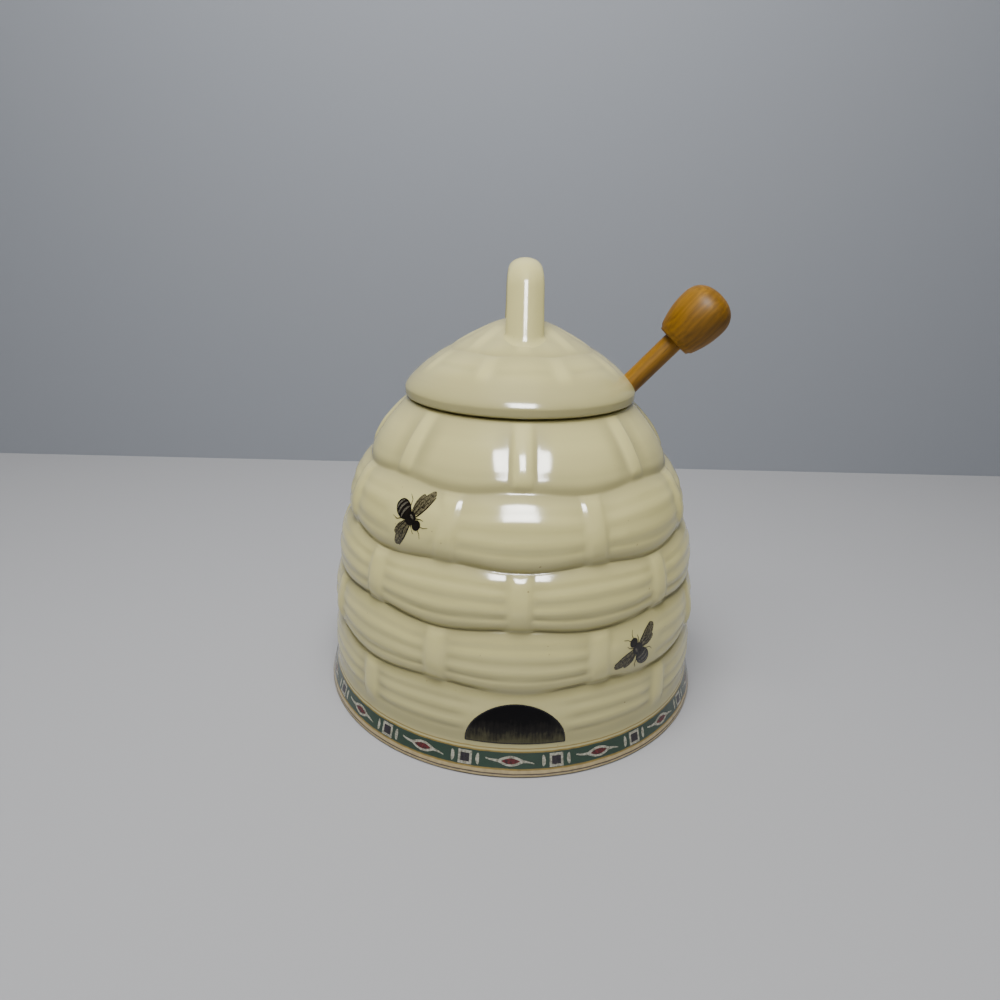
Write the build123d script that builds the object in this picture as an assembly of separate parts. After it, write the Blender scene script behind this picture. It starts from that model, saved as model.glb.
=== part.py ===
"""Skep honey pot: a beehive-shaped stoneware pot, its lift-off lid with a strap loop, and a wooden dipper.

Millimetres, +Z up. The origin is the centre of the foot, on the pot's axis. The arched doorway's side of the
pot faces -Y, the lid's loop runs front to back along Y, and the dipper leans out over the rim towards +X, turned a
little to the front.
"""
from build123d import *
from math import acos, atan, atan2, cos, degrees, hypot, radians, sin, sqrt
import os

# ---- pot: outside ----
POT_HEIGHT = 91.5            # foot to the top of the rim
FOOT_RADIUS = 60.4           # the foot's widest, just above the table
FOOT_HEIGHT = 8.7            # plain band under the lowest course
FOOT_ROUND = 0.6             # rounding of the standing edge
HIVE_RADIUS = 58.6           # the hive's curve where it starts, at the table
HIVE_BEYOND = 17.2           # the hive's curve would close this far above the rim
HIVE_FULLNESS = 3.3          # the larger, the straighter the side and the rounder the shoulder
HIVE_TAPER = 0.053           # lean of the side, for each unit of height
COURSE_HEIGHTS = (16.6, 16.9, 16.4, 17.9)        # the four lower courses of straw, from the foot up
COURSE_BELLIES = (0.5, 1.2, 1.5, 1.9, 0.5)       # how far each course swells past the hive's curve
BELLY_LEVEL = 0.42           # where on its height a course is widest

# ---- binding stitches of both pot and lid ----
STITCH_COUNT = 8             # stitches round one course; the next course is shifted by half a step
STITCH_WIDTH = 5.4
STITCH_PROUD = 0.5           # above the belly of its course
LID_STITCH_WIDTH = 4.6       # halfway up the lid's course

# ---- pot: wall, floor and foot ----
WALL = 4.4                   # wall at the floor
RIM_WALL = 3.1               # wall at the mouth, with a fully rounded lip
FLOOR = 5.2                  # thickness over the table
FLOOR_CORNER = 9.0           # inside rounding between floor and wall
FOOT_RING = 6.0              # width of the ring the pot stands on
FOOT_RECESS = 1.6            # hollow inside that ring

# ---- lid ----
LID_INSET = 0.75             # the lid's edge stays this far inside the outside of the rim
LID_EDGE = 2.5               # height of the rounded edge below the lid's widest line
LID_RISE = 22.6              # widest line to the point where the lid's curve would close
LID_FULLNESS = 1.41
LID_UNDERCUT = 0.9           # how much the rounded edge turns in at its bottom
CROWN_RADIUS = 10.0          # inside this the crown is rounded off
LID_WALL = 4.8               # vertical thickness of the dome
LID_COURSE_RADIUS = 21.0     # where the lid's lower course ends
FLANGE_WALL = 3.0            # locating ring under the lid
FLANGE_DEPTH = 5.0           # how far it reaches into the mouth
LID_FIT = 0.6                # radial play of that ring in the mouth
LID_SEAT = 0.2               # lid to rim

# ---- the lid's loop ----
LOOP_GAP = 11.2              # finger room between the crown and the loop
LOOP_RADIUS = 11.6           # outside of its bend
LOOP_STRIDE = 13.0           # from the lid's axis to the middle of each foot, on the dome
STRAP_WIDTH = 10.8
STRAP_THICKNESS = 5.2
LOOP_ROOT = 3.6              # how far the legs' middle line runs on below the dome, before they are fitted to it

# ---- dipper ----
DIPPER_LEAN = 41.8           # degrees from upright
DIPPER_TURN = 5.5            # degrees from +X towards the front
ROD_DIAMETER = 6.0
ROD_REST = 0.2               # rod to the lip it leans on
ROD_OUT = 21.0               # from the lip to the knob, along the rod
ROD_SEAT = 9.0               # depth of the rod in the knob
NOTCH_GAP = 0.8              # room round the rod in the lid's notch
GLUE = 0.05                  # glue line between rod and bore
KNOB_LENGTH = 17.8
KNOB_DIAMETER = 16.0
KNOB_BASE = 10.8             # diameter of its flat end
KNOB_WIDEST = 10.4           # distance of the widest line from the flat end
KNOB_EASE = 0.7              # eased edge of the flat end
HEAD_LENGTH = 34.0
HEAD_DIAMETER = 22.0
HEAD_BLUNT = 0.6             # end diameter as a share of the head's
HEAD_EASE = 1.0              # eased edge of both ends
HEAD_DISCS = 6
DISC_GAP = 2.6               # groove between two discs
CORE_DIAMETER = 11.0         # what the grooves leave
HEAD_REST = 0.3              # head to floor, and the least between head and wall
HEAD_NOSE = 3.0              # wood of the head beyond the rod's end

os.makedirs("parts", exist_ok=True)


def hive_radius(z):
    """Outside radius of the hive's plain curve at height z, as it is in the dips between courses."""
    reach = POT_HEIGHT + HIVE_BEYOND
    return HIVE_RADIUS * sqrt(1 - (z / reach) ** HIVE_FULLNESS) - HIVE_TAPER * z


def chamber_radius(z):
    """Inside radius of the plain wall at height z."""
    return hive_radius(z) - WALL - (RIM_WALL - WALL) * z / POT_HEIGHT


LIP_Z = POT_HEIGHT - RIM_WALL / 2            # centre of the rounded lip
LIP_RADIUS = hive_radius(LIP_Z) - RIM_WALL / 2
MOUTH_RADIUS = LIP_RADIUS - RIM_WALL / 2
LID_RADIUS = LIP_RADIUS + RIM_WALL / 2 - LID_INSET
LID_BOTTOM = POT_HEIGHT + LID_SEAT
LID_WIDEST_Z = LID_BOTTOM + LID_EDGE


def lid_height(r):
    """Height of the lid's outside at radius r, before its crown is rounded off."""
    return LID_WIDEST_Z + LID_RISE * (1 - r / LID_RADIUS) ** (1 / LID_FULLNESS)


def courses():
    """Each course from the foot up: its lower dip, its upper dip, as (r, z), and its swell."""
    levels = [FOOT_HEIGHT]
    for height in COURSE_HEIGHTS:
        levels.append(levels[-1] + height)
    levels.append(LIP_Z)
    dips = [(hive_radius(z), z) for z in levels]
    return list(zip(dips, dips[1:], COURSE_BELLIES))


def belly_point(low, high, swell):
    """The widest point of the course between two dips, moved out square to the line between them."""
    (r0, z0), (r1, z1) = low, high
    length = sqrt((r1 - r0) ** 2 + (z1 - z0) ** 2)
    out_r, out_z = (z1 - z0) / length, (r0 - r1) / length
    z = z0 + (z1 - z0) * BELLY_LEVEL
    # the dips lie on a curve, so the swell is counted from that curve and not from the chord
    return (hive_radius(z) + out_r * swell, z + out_z * swell)


def upright(points_rz):
    """Points (r, z) as points of the XZ plane."""
    return [(r, 0, z) for r, z in points_rz]


def lathe(wires, angle=360.0):
    """A face bounded by the given edges, turned round the axis."""
    return revolve(make_face(wires), Axis.Z, angle)


def pot_outside():
    first_dip = courses()[0][0]
    foot = upright([(0, 0), (FOOT_RADIUS - FOOT_ROUND, 0), (FOOT_RADIUS, FOOT_ROUND), first_dip])
    edges = [Line(foot[0], foot[1]), Line(foot[1], foot[2]), Line(foot[2], foot[3])]
    for low, high, swell in courses():
        edges.append(ThreePointArc(*upright([low, belly_point(low, high, swell), high])))
    lip = upright([high, (LIP_RADIUS, POT_HEIGHT), (MOUTH_RADIUS, LIP_Z), (0, LIP_Z)])
    edges += [ThreePointArc(lip[0], lip[1], lip[2]), Line(lip[2], lip[3]), Line(lip[3], foot[0])]
    return lathe(edges)


def stitches(low, high, swell, first_angle, depth):
    """The ring of binding stitches over one course; depth is how far they reach into the wall."""
    ribs = []
    (r0, z0), (r1, z1) = low, high
    inner = upright([(r1 - depth, z1), (r0 - depth, z0)])
    outer = upright([low, belly_point(low, high, swell), high])
    edges = [ThreePointArc(*outer), Line(outer[2], inner[0]), Line(inner[0], inner[1]), Line(inner[1], outer[0])]
    step = 360.0 / STITCH_COUNT
    wide = degrees(STITCH_WIDTH / ((r0 + r1) / 2))
    rib = lathe(edges, wide)
    for index in range(STITCH_COUNT):
        ribs.append(rib.rotate(Axis.Z, first_angle + index * step - wide / 2))
    return ribs


def pot_cavity():
    """The honey chamber and the mouth above it."""
    low_z = FLOOR + FLOOR_CORNER
    wall_z = [low_z + (LIP_Z - low_z) * share for share in (0, 0.25, 0.5, 0.7, 0.85, 1)]
    wall = upright([(chamber_radius(z), z) for z in wall_z])
    wall[-1] = (MOUTH_RADIUS, 0, LIP_Z)
    corner = upright([(wall[0][0] - FLOOR_CORNER, FLOOR)])[0]
    bend = FLOOR_CORNER * (1 - sin(radians(45)))
    middle = (wall[0][0] - bend, 0, FLOOR + bend)
    above = 2 * POT_HEIGHT
    edges = [
        Line((0, 0, FLOOR), corner),
        ThreePointArc(corner, middle, wall[0]),
        Spline(*wall),
        Line(wall[-1], (MOUTH_RADIUS, 0, above)),
        Line((MOUTH_RADIUS, 0, above), (0, 0, above)),
        Line((0, 0, above), (0, 0, FLOOR)),
    ]
    return lathe(edges)


def make_pot():
    """The pot: five swelling courses on a plain foot, bound by stitches, hollow, on a narrow foot ring."""
    half_step = 180.0 / STITCH_COUNT
    ribs = []
    for index, (low, high, swell) in enumerate(courses()):
        first = -90.0 + (index % 2) * half_step
        ribs += stitches(low, high, swell + STITCH_PROUD, first, RIM_WALL / 2)
    pot = pot_outside().fuse(*ribs)
    pot -= pot_cavity()
    recess = Plane.XY * Cylinder(FOOT_RADIUS - FOOT_ROUND - FOOT_RING, 2 * FOOT_RECESS)
    return pot - recess


def lid_outside_points():
    """The lid's curve from its widest line up to the crown."""
    shares = (0, 0.03, 0.1, 0.25, 0.45, 0.65)
    radii = [LID_RADIUS - (LID_RADIUS - CROWN_RADIUS) * share for share in shares] + [CROWN_RADIUS]
    return [(r, lid_height(r)) for r in radii]


def crown_points(drop=0.0):
    """Edge, middle and top of the rounded crown: an arc that leaves the lid's curve at its own slope."""
    step = 0.1
    slope = (lid_height(CROWN_RADIUS - step) - lid_height(CROWN_RADIUS + step)) / (2 * step)
    lean = atan(slope)
    ball = CROWN_RADIUS / sin(lean)
    edge_z = lid_height(CROWN_RADIUS) - drop
    centre_z = edge_z - ball * cos(lean)
    middle = (ball * sin(lean / 2), centre_z + ball * cos(lean / 2))
    return upright([(CROWN_RADIUS, edge_z), middle, (0, centre_z + ball)])


def make_lid():
    """The lid: a low straw dome with a rounded edge, a locating ring, and a notch for the dipper."""
    top = upright(lid_outside_points())
    crown = crown_points()
    seat_radius = LID_RADIUS - LID_UNDERCUT
    edge_middle = (LID_RADIUS - LID_UNDERCUT * 0.2, 0, LID_BOTTOM + LID_EDGE * 0.42)
    flange_radius = MOUTH_RADIUS - LID_FIT
    outside = [
        Line((0, 0, LID_BOTTOM), (seat_radius, 0, LID_BOTTOM)),
        ThreePointArc((seat_radius, 0, LID_BOTTOM), edge_middle, top[0]),
        Spline(*top),
        ThreePointArc(*crown),
        Line(crown[-1], (0, 0, LID_BOTTOM)),
    ]
    lid = lathe(outside)
    seam = (LID_COURSE_RADIUS, lid_height(LID_COURSE_RADIUS))
    lid = lid.fuse(*lid_stitches(seam))
    flange_low = LID_BOTTOM - FLANGE_DEPTH
    flange = Pos(0, 0, flange_low) * Cylinder(
        flange_radius, FLANGE_DEPTH, align=(Align.CENTER, Align.CENTER, Align.MIN))
    lid = lid.fuse(flange)
    lid -= lid_hollow(flange_radius - FLANGE_WALL, flange_low)
    return lid - lid_notch(flange_low)


def lid_stitches(seam):
    """Stitches over the lid's lower course, between its edge and its seam."""
    edge_r = LID_RADIUS - LID_UNDERCUT
    edge = (edge_r, lid_height(edge_r))
    middle_r = (edge_r + seam[0]) / 2
    proud = (middle_r + STITCH_PROUD, lid_height(middle_r) + STITCH_PROUD)
    depth = LID_WALL / 3
    inner = upright([(seam[0], seam[1] - depth), (edge[0] - depth, edge[1] - depth)])
    outer = upright([edge, proud, seam])
    edges = [ThreePointArc(*outer), Line(outer[2], inner[0]), Line(inner[0], inner[1]), Line(inner[1], outer[0])]
    wide = degrees(LID_STITCH_WIDTH / middle_r)
    step = 360.0 / STITCH_COUNT
    rib = lathe(edges, wide)
    first = -90.0 + step / 2 - wide / 2
    return [rib.rotate(Axis.Z, first + index * step) for index in range(STITCH_COUNT)]


def lid_hollow(radius, low):
    """Room under the dome, open at the bottom through the locating ring."""
    shares = (0, 0.2, 0.45, 0.7)
    radii = [radius - (radius - CROWN_RADIUS) * share for share in shares] + [CROWN_RADIUS]
    dome = upright([(r, lid_height(r) - LID_WALL) for r in radii])
    crown = crown_points(LID_WALL)
    edges = [
        Line((0, 0, low - 1), (radius, 0, low - 1)),
        Line((radius, 0, low - 1), dome[0]),
        Spline(*dome),
        ThreePointArc(*crown),
        Line(crown[-1], (0, 0, low - 1)),
    ]
    return lathe(edges)


def lid_notch(low):
    """An arch through the lid's edge on the +X side, open at the bottom, high enough for the rod."""
    half = ROD_DIAMETER / 2 + NOTCH_GAP
    arch_z = notch_top() - half
    body = Pos(LID_RADIUS, 0, (low - 1 + arch_z) / 2) * Box(LID_RADIUS, 2 * half, arch_z - low + 1)
    arch = Pos(LID_RADIUS, 0, arch_z) * Rot(0, 90, 0) * Cylinder(half, LID_RADIUS)
    return Rot(0, 0, -DIPPER_TURN) * (body + arch)


def rod_top_z(x):
    """Height of the rod's upper side above the point x of the dipper's plane."""
    lean = radians(DIPPER_LEAN)
    px, pz = rod_at_lip()
    return pz + (x - px) * cos(lean) / sin(lean) + ROD_DIAMETER / 2 / sin(lean)


def notch_top():
    """Height where the rod comes out through the dome, with its gap."""
    steps = [LID_RADIUS * index / 200 for index in range(100, 200)]
    out = next(x for x in steps if rod_top_z(x) > lid_height(x))
    return rod_top_z(out) + NOTCH_GAP


def rod_at_lip():
    """Point of the rod's axis that is nearest to the lip it leans on, as (x, z)."""
    lean = radians(DIPPER_LEAN)
    off = RIM_WALL / 2 + ROD_REST + ROD_DIAMETER / 2
    return LIP_RADIUS - off * cos(lean), LIP_Z + off * sin(lean)


def loop_path():
    """Middle line of the strap in the YZ plane: a leg, the bend and a leg, straight where they touch the bend."""
    radius = LOOP_RADIUS - STRAP_THICKNESS / 2
    centre_z = crown_points()[-1][2] + LOOP_GAP + STRAP_THICKNESS - LOOP_RADIUS
    foot_z = lid_height(LOOP_STRIDE) - LOOP_ROOT
    fall = foot_z - centre_z
    lean = atan2(fall, LOOP_STRIDE) + acos(radius / hypot(LOOP_STRIDE, fall))
    bend_y, bend_z = radius * cos(lean), centre_z + radius * sin(lean)
    return Wire([
        Line((0, -LOOP_STRIDE, foot_z), (0, -bend_y, bend_z)),
        ThreePointArc((0, -bend_y, bend_z), (0, 0, centre_z + radius), (0, bend_y, bend_z)),
        Line((0, bend_y, bend_z), (0, LOOP_STRIDE, foot_z)),
    ])


def make_loop(lid):
    """The strap loop: two splayed legs and a bend, its feet shaped to the dome they are luted to."""
    path = loop_path()
    section = Plane(path @ 0, x_dir=(1, 0, 0), z_dir=path % 0) * Ellipse(STRAP_WIDTH / 2, STRAP_THICKNESS / 2)
    strap = sweep(section, path) - lid
    return strap.solids().sort_by(SortBy.VOLUME)[-1]


def along_dipper(solid):
    """A solid made upright along +Z from the lip point, leaned over, put in its place and turned to the front."""
    px, pz = rod_at_lip()
    return Rot(0, 0, -DIPPER_TURN) * Pos(px, 0, pz) * Rot(0, DIPPER_LEAN, 0) * solid


def head_outline():
    """Points (along, across) of the head's outline that can touch: each end's eased edge, and the middle."""
    half, end = HEAD_LENGTH / 2, HEAD_DIAMETER * HEAD_BLUNT / 2
    return [(-half, end - HEAD_EASE), (HEAD_EASE - half, end), (0, HEAD_DIAMETER / 2)]


def wall_room(depth):
    """Least room between the head and the wall behind it, with the head's middle that far down the rod."""
    lean = radians(DIPPER_LEAN)
    px, pz = rod_at_lip()
    rooms = []
    for along, across in head_outline():
        x = px + (along - depth) * sin(lean) - across * cos(lean)
        z = pz + (along - depth) * cos(lean) + across * sin(lean)
        rooms.append(chamber_radius(max(z, FLOOR + FLOOR_CORNER)) + x)
    return min(rooms)


def head_centre():
    """Distance from the lip point down the rod to the middle of the head, which rests on the floor or,
    in a narrow pot, against the wall."""
    lean = radians(DIPPER_LEAN)
    reach = max(across * sin(lean) - along * cos(lean) for along, across in head_outline())
    depth = (rod_at_lip()[1] - FLOOR - HEAD_REST - reach) / cos(lean)
    while wall_room(depth) < HEAD_REST:
        depth -= HEAD_REST
    return depth


def rod_low():
    return -head_centre() - HEAD_LENGTH / 2 + HEAD_NOSE


def make_rod():
    top = ROD_OUT + ROD_SEAT - GLUE
    length = top - rod_low()
    rod = Pos(0, 0, rod_low()) * Cylinder(
        ROD_DIAMETER / 2, length, align=(Align.CENTER, Align.CENTER, Align.MIN))
    return along_dipper(chamfer(rod.edges().filter_by(GeomType.CIRCLE), 0.5))


def make_knob():
    """Egg-shaped knob with a flat, eased end, drilled for the rod."""
    half = KNOB_DIAMETER / 2
    base = KNOB_BASE / 2
    low, wide, top = ROD_OUT, ROD_OUT + KNOB_WIDEST, ROD_OUT + KNOB_LENGTH
    cap = KNOB_LENGTH - KNOB_WIDEST
    shoulder = (half * 0.76, 0, wide + cap * 0.62)
    edges = [
        Line((0, 0, low), (base - KNOB_EASE, 0, low)),
        Line((base - KNOB_EASE, 0, low), (base, 0, low + KNOB_EASE)),
        Spline((base, 0, low + KNOB_EASE), (half * 0.89, 0, low + KNOB_WIDEST * 0.42), (half, 0, wide), shoulder,
               (0, 0, top), tangents=[(0.6, 0, 1), (-1, 0, 0)]),
        Line((0, 0, top), (0, 0, low)),
    ]
    bore = Pos(0, 0, low) * Cylinder(ROD_DIAMETER / 2 + GLUE, 2 * ROD_SEAT)
    return along_dipper(lathe(edges) - bore)


def make_head():
    """Barrel-shaped head: discs on a core, with grooves that hold the honey."""
    middle = -head_centre()
    low, high = middle - HEAD_LENGTH / 2, middle + HEAD_LENGTH / 2
    half, end = HEAD_DIAMETER / 2, HEAD_DIAMETER * HEAD_BLUNT / 2
    edges = [
        Line((0, 0, low), (end - HEAD_EASE, 0, low)),
        Line((end - HEAD_EASE, 0, low), (end, 0, low + HEAD_EASE)),
        ThreePointArc((end, 0, low + HEAD_EASE), (half, 0, middle), (end, 0, high - HEAD_EASE)),
        Line((end, 0, high - HEAD_EASE), (end - HEAD_EASE, 0, high)),
        Line((end - HEAD_EASE, 0, high), (0, 0, high)),
        Line((0, 0, high), (0, 0, low)),
    ]
    head = lathe(edges)
    pitch = HEAD_LENGTH / HEAD_DISCS
    ring = Cylinder(HEAD_DIAMETER, DISC_GAP) - Cylinder(CORE_DIAMETER / 2, DISC_GAP)
    for index in range(1, HEAD_DISCS):
        head -= Pos(0, 0, low + index * pitch) * ring
    bore_low = low + HEAD_NOSE - GLUE
    bore = Pos(0, 0, bore_low) * Cylinder(
        ROD_DIAMETER / 2 + GLUE, HEAD_LENGTH, align=(Align.CENTER, Align.CENTER, Align.MIN))
    return along_dipper(head - bore)


def save(name, solid):
    solid.label = name
    export_step(solid, f"parts/{name}.step")
    box = solid.bounding_box()
    print(f"{name}: {solid.volume / 1000:.1f} cm3, z {box.min.Z:.1f} to {box.max.Z:.1f}")


lid_solid = make_lid()
save("pot_body", make_pot())
save("lid", lid_solid)
save("lid_loop", make_loop(lid_solid))
save("dipper_rod", make_rod())
save("dipper_knob", make_knob())
save("dipper_head", make_head())
print("rod at the lip", rod_at_lip(), "mouth radius", MOUTH_RADIUS, "lid radius", LID_RADIUS, "notch", notch_top())
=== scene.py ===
# %% [markdown]
# # A stoneware honey pot shaped like a straw beehive
#
# The pot, its lid and the lid's loop are glazed stoneware. The dipper is turned wood. The solid model of
# all six pieces is already made at its real size, so this notebook never moves or resizes them. It gives
# each one the surface that a camera sees: straw courses with soft glaze over them, printed bees and border,
# wood grain.
#
# The first cell loads that solid model as a fixed frame. Its boxes tell the later cells where things are.

# %% Load the frame
from math import atan, cos, pi, radians, sin, sqrt, tan
import bpy
from mathutils import Matrix, Vector


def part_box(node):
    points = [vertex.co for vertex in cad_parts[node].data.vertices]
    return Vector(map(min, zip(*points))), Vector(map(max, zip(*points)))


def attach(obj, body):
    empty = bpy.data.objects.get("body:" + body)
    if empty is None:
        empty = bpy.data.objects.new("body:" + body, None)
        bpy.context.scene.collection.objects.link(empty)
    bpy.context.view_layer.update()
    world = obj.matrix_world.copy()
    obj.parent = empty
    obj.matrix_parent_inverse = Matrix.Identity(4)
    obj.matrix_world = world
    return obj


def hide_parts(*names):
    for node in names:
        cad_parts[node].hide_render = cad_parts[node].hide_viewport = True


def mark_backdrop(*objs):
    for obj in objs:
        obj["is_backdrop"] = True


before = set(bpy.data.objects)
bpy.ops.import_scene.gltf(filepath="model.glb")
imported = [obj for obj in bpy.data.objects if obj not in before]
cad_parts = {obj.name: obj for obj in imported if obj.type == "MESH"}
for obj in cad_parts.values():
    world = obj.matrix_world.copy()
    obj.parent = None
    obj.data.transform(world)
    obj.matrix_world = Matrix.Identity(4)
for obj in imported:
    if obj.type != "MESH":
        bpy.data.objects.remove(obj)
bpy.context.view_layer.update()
MM = 0.001
print("pieces of the solid model:", sorted(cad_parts))

# %% [markdown]
# A few small helpers carry the whole notebook. Colours are written as the hex values that a paint chart
# would give, and one function turns them to the linear values that a renderer adds up. One function adds a
# node to any tree, for a material or for geometry. A small class lets such a tree be written as the formula
# that it works out. One function turns an object whose shape is still computed by modifiers into a plain
# mesh, which is what other programs can read.

# %% Helpers
def tint(code, alpha=1.0):
    """An sRGB hex colour as linear RGBA."""
    parts = [int(code[i:i + 2], 16) / 255 for i in (1, 3, 5)]
    linear = [c / 12.92 if c <= 0.04045 else ((c + 0.055) / 1.055) ** 2.4 for c in parts]
    return (*linear, alpha)


def add(tree, kind, inputs=None, **settings):
    """A new node: settings are its own, inputs are values or sockets by name or number."""
    node = tree.nodes.new(kind)
    for name, value in settings.items():
        setattr(node, name, value)
    for name, value in (inputs or {}).items():
        value = getattr(value, "socket", value)
        if isinstance(value, bpy.types.NodeSocket):
            tree.links.new(value, node.inputs[name])
        else:
            node.inputs[name].default_value = value
    return node


class Number:
    """A value inside a node tree. Arithmetic with it adds the Math nodes that do the same."""
    def __init__(self, tree, socket):
        self.tree = tree
        self.socket = socket

    def __add__(self, other):
        return calc(self.tree, "ADD", self, other)

    def __sub__(self, other):
        return calc(self.tree, "SUBTRACT", self, other)

    def __rsub__(self, other):
        return calc(self.tree, "SUBTRACT", other, self)

    def __mul__(self, other):
        return calc(self.tree, "MULTIPLY", self, other)

    def __truediv__(self, other):
        return calc(self.tree, "DIVIDE", self, other)

    __rmul__ = __mul__


def calc(tree, operation, *values):
    node = add(tree, "ShaderNodeMath", dict(enumerate(values)), operation=operation)
    return Number(tree, node.outputs[0])


def new_tree(name, inputs):
    """An empty geometry tree with inputs (name, kind), and those inputs by name, to calculate with."""
    tree = bpy.data.node_groups.new(name, "GeometryNodeTree")
    for label, kind in (("Geometry", "Geometry"), *inputs):
        tree.interface.new_socket(label, in_out="INPUT", socket_type=f"NodeSocket{kind}")
    tree.interface.new_socket("Geometry", in_out="OUTPUT", socket_type="NodeSocketGeometry")
    return tree, {socket.name: Number(tree, socket) for socket in add(tree, "NodeGroupInput").outputs}


def settle(piece):
    """Replaces a piece's live modifiers by the mesh that they make."""
    graph = bpy.context.evaluated_depsgraph_get()
    plain = bpy.data.meshes.new_from_object(
        piece.evaluated_get(graph), preserve_all_data_layers=True, depsgraph=graph)
    piece.modifiers.clear()
    piece.data = plain
    plain.polygons.foreach_set("use_smooth", [True] * len(plain.polygons))
    print(f"{piece.name}: {len(plain.polygons)} faces")
    return piece


def place(name, mesh, material=None):
    """A mesh as an object in the scene, at the origin."""
    piece = bpy.data.objects.new(name, mesh)
    bpy.context.scene.collection.objects.link(piece)
    if material:
        mesh.materials.append(material)
    return piece


# %% [markdown]
# ## The camera
#
# A wide lens held close makes the near side of a round foot look deep. The camera stands about 205 mm in
# front of the pot's axis and 133 mm up, looks 20 degrees down, and is rolled by a degree and a half, as a
# hand-held one is. Its turn is built from three directions, which is safer than guessing three angles.

# %% Camera
CAMERA_PLACE = Vector((-7.17, -205.2, 132.84)) * MM
CAMERA_PITCH = radians(20.283)
CAMERA_YAW = radians(0.575)
CAMERA_ROLL = radians(1.508)
CAMERA_LENS = 24.48

ahead = Vector((sin(CAMERA_YAW), cos(CAMERA_YAW), 0))
forward = cos(CAMERA_PITCH) * ahead - Vector((0, 0, sin(CAMERA_PITCH)))
level = Vector((cos(CAMERA_YAW), -sin(CAMERA_YAW), 0))
upward = level.cross(forward)
right = cos(CAMERA_ROLL) * level + sin(CAMERA_ROLL) * upward
up = cos(CAMERA_ROLL) * upward - sin(CAMERA_ROLL) * level
camera_data = bpy.data.cameras.new("camera")
camera_data.lens = CAMERA_LENS
camera_data.sensor_width = 36
camera_data.clip_start = 0.01
camera = bpy.data.objects.new("camera", camera_data)
camera.matrix_world = Matrix.Translation(CAMERA_PLACE) @ Matrix((right, up, -forward)).transposed().to_4x4()
bpy.context.scene.collection.objects.link(camera)
bpy.context.scene.camera = camera
print("camera looks along", [round(v, 3) for v in forward])

# %% [markdown]
# ## The hive's curve
#
# A skep, the old straw beehive, is one long rope of straw wound upwards and sewn to itself. Its outline is
# nearly straight at the bottom and closes quickly at the top. One formula gives that outline, and the seams
# between the courses lie on it. Everything that follows is worked out from it, so no outline is drawn by
# hand.

# %% Measures of the pot
# millimetres, as all measures in this notebook are. Swells and weaves are per course, from the foot up
POT_HEIGHT = 91.5
FOOT_RADIUS = 60.4
FOOT_HEIGHT = 8.7
FOOT_ROUND = 0.6
HIVE_RADIUS = 58.6
HIVE_BEYOND = 17.2
HIVE_FULLNESS = 3.3
HIVE_TAPER = 0.053
COURSE_HEIGHTS = (16.2, 16.2, 16.0, 17.9)
COURSE_BELLIES = (0.7, 1.2, 1.4, 1.6, 0.35)
COURSE_WEAVES = (1.25, 1.0, 1.1, 0.7, 0.1)
WALL = 4.4
RIM_WALL = 3.1
FLOOR = 5.2
FLOOR_CORNER = 9.0
FOOT_RING = 6.0
FOOT_RECESS = 1.6
STITCHES = 8
LIP_ROLL = 0.95
LIP_TURN = 40.0
LIP_DROP = 0.25
SHOULDER_DROP = 0.5
SHOULDER_START = 83.0


def hive_radius(z):
    """Radius of the hive at height z, in the seams between its courses, in millimetres."""
    reach = POT_HEIGHT + HIVE_BEYOND
    return HIVE_RADIUS * sqrt(1 - (z / reach) ** HIVE_FULLNESS) - HIVE_TAPER * z


def skin_radius(z):
    """The hive as a hand leaves it: near the lip it turns in a little more, so that the lid overhangs it."""
    share = max(0.0, (z - SHOULDER_START) / (POT_HEIGHT - SHOULDER_START))
    return hive_radius(z) - SHOULDER_DROP * share


def chamber_radius(z):
    return hive_radius(z) - WALL - (RIM_WALL - WALL) * z / POT_HEIGHT


LIP_Z = POT_HEIGHT - RIM_WALL / 2
LIP_RADIUS = hive_radius(LIP_Z) - RIM_WALL / 2
MOUTH_RADIUS = LIP_RADIUS - RIM_WALL / 2
SEAMS = [FOOT_HEIGHT]
for course_height in COURSE_HEIGHTS:
    SEAMS.append(SEAMS[-1] + course_height)
SEAMS.append(POT_HEIGHT - LIP_DROP - LIP_ROLL * (1 - sin(radians(LIP_TURN))))
print("seams at heights", [round(z, 1) for z in SEAMS], "mouth", round(MOUTH_RADIUS * 2, 1), "mm wide")

# %% [markdown]
# ## A shape that is turned, like clay on a wheel
#
# The base of the pot and of the lid is a plain turned form. Blender's Spin or a Screw modifier would make
# one, but here each ring of points also has to know which course of straw it belongs to and how far up that
# course it lies. So the rings are built directly, and those facts go with the points as named attributes.
# The rings' points crowd together where a stitch will stand and spread out between, because that is where
# the shape changes.

# %% Turned base
SECTOR_STEPS = 30
CROWDING = 0.45


def turns():
    """Angles round the pot as shares of a full turn, from the front, crowded at the places for stitches."""
    steps = []
    for sector in range(2 * STITCHES):
        for step in range(SECTOR_STEPS):
            t = step / SECTOR_STEPS
            steps.append((sector + t - CROWDING * sin(2 * pi * t) / (2 * pi)) / (2 * STITCHES))
    return steps


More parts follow.
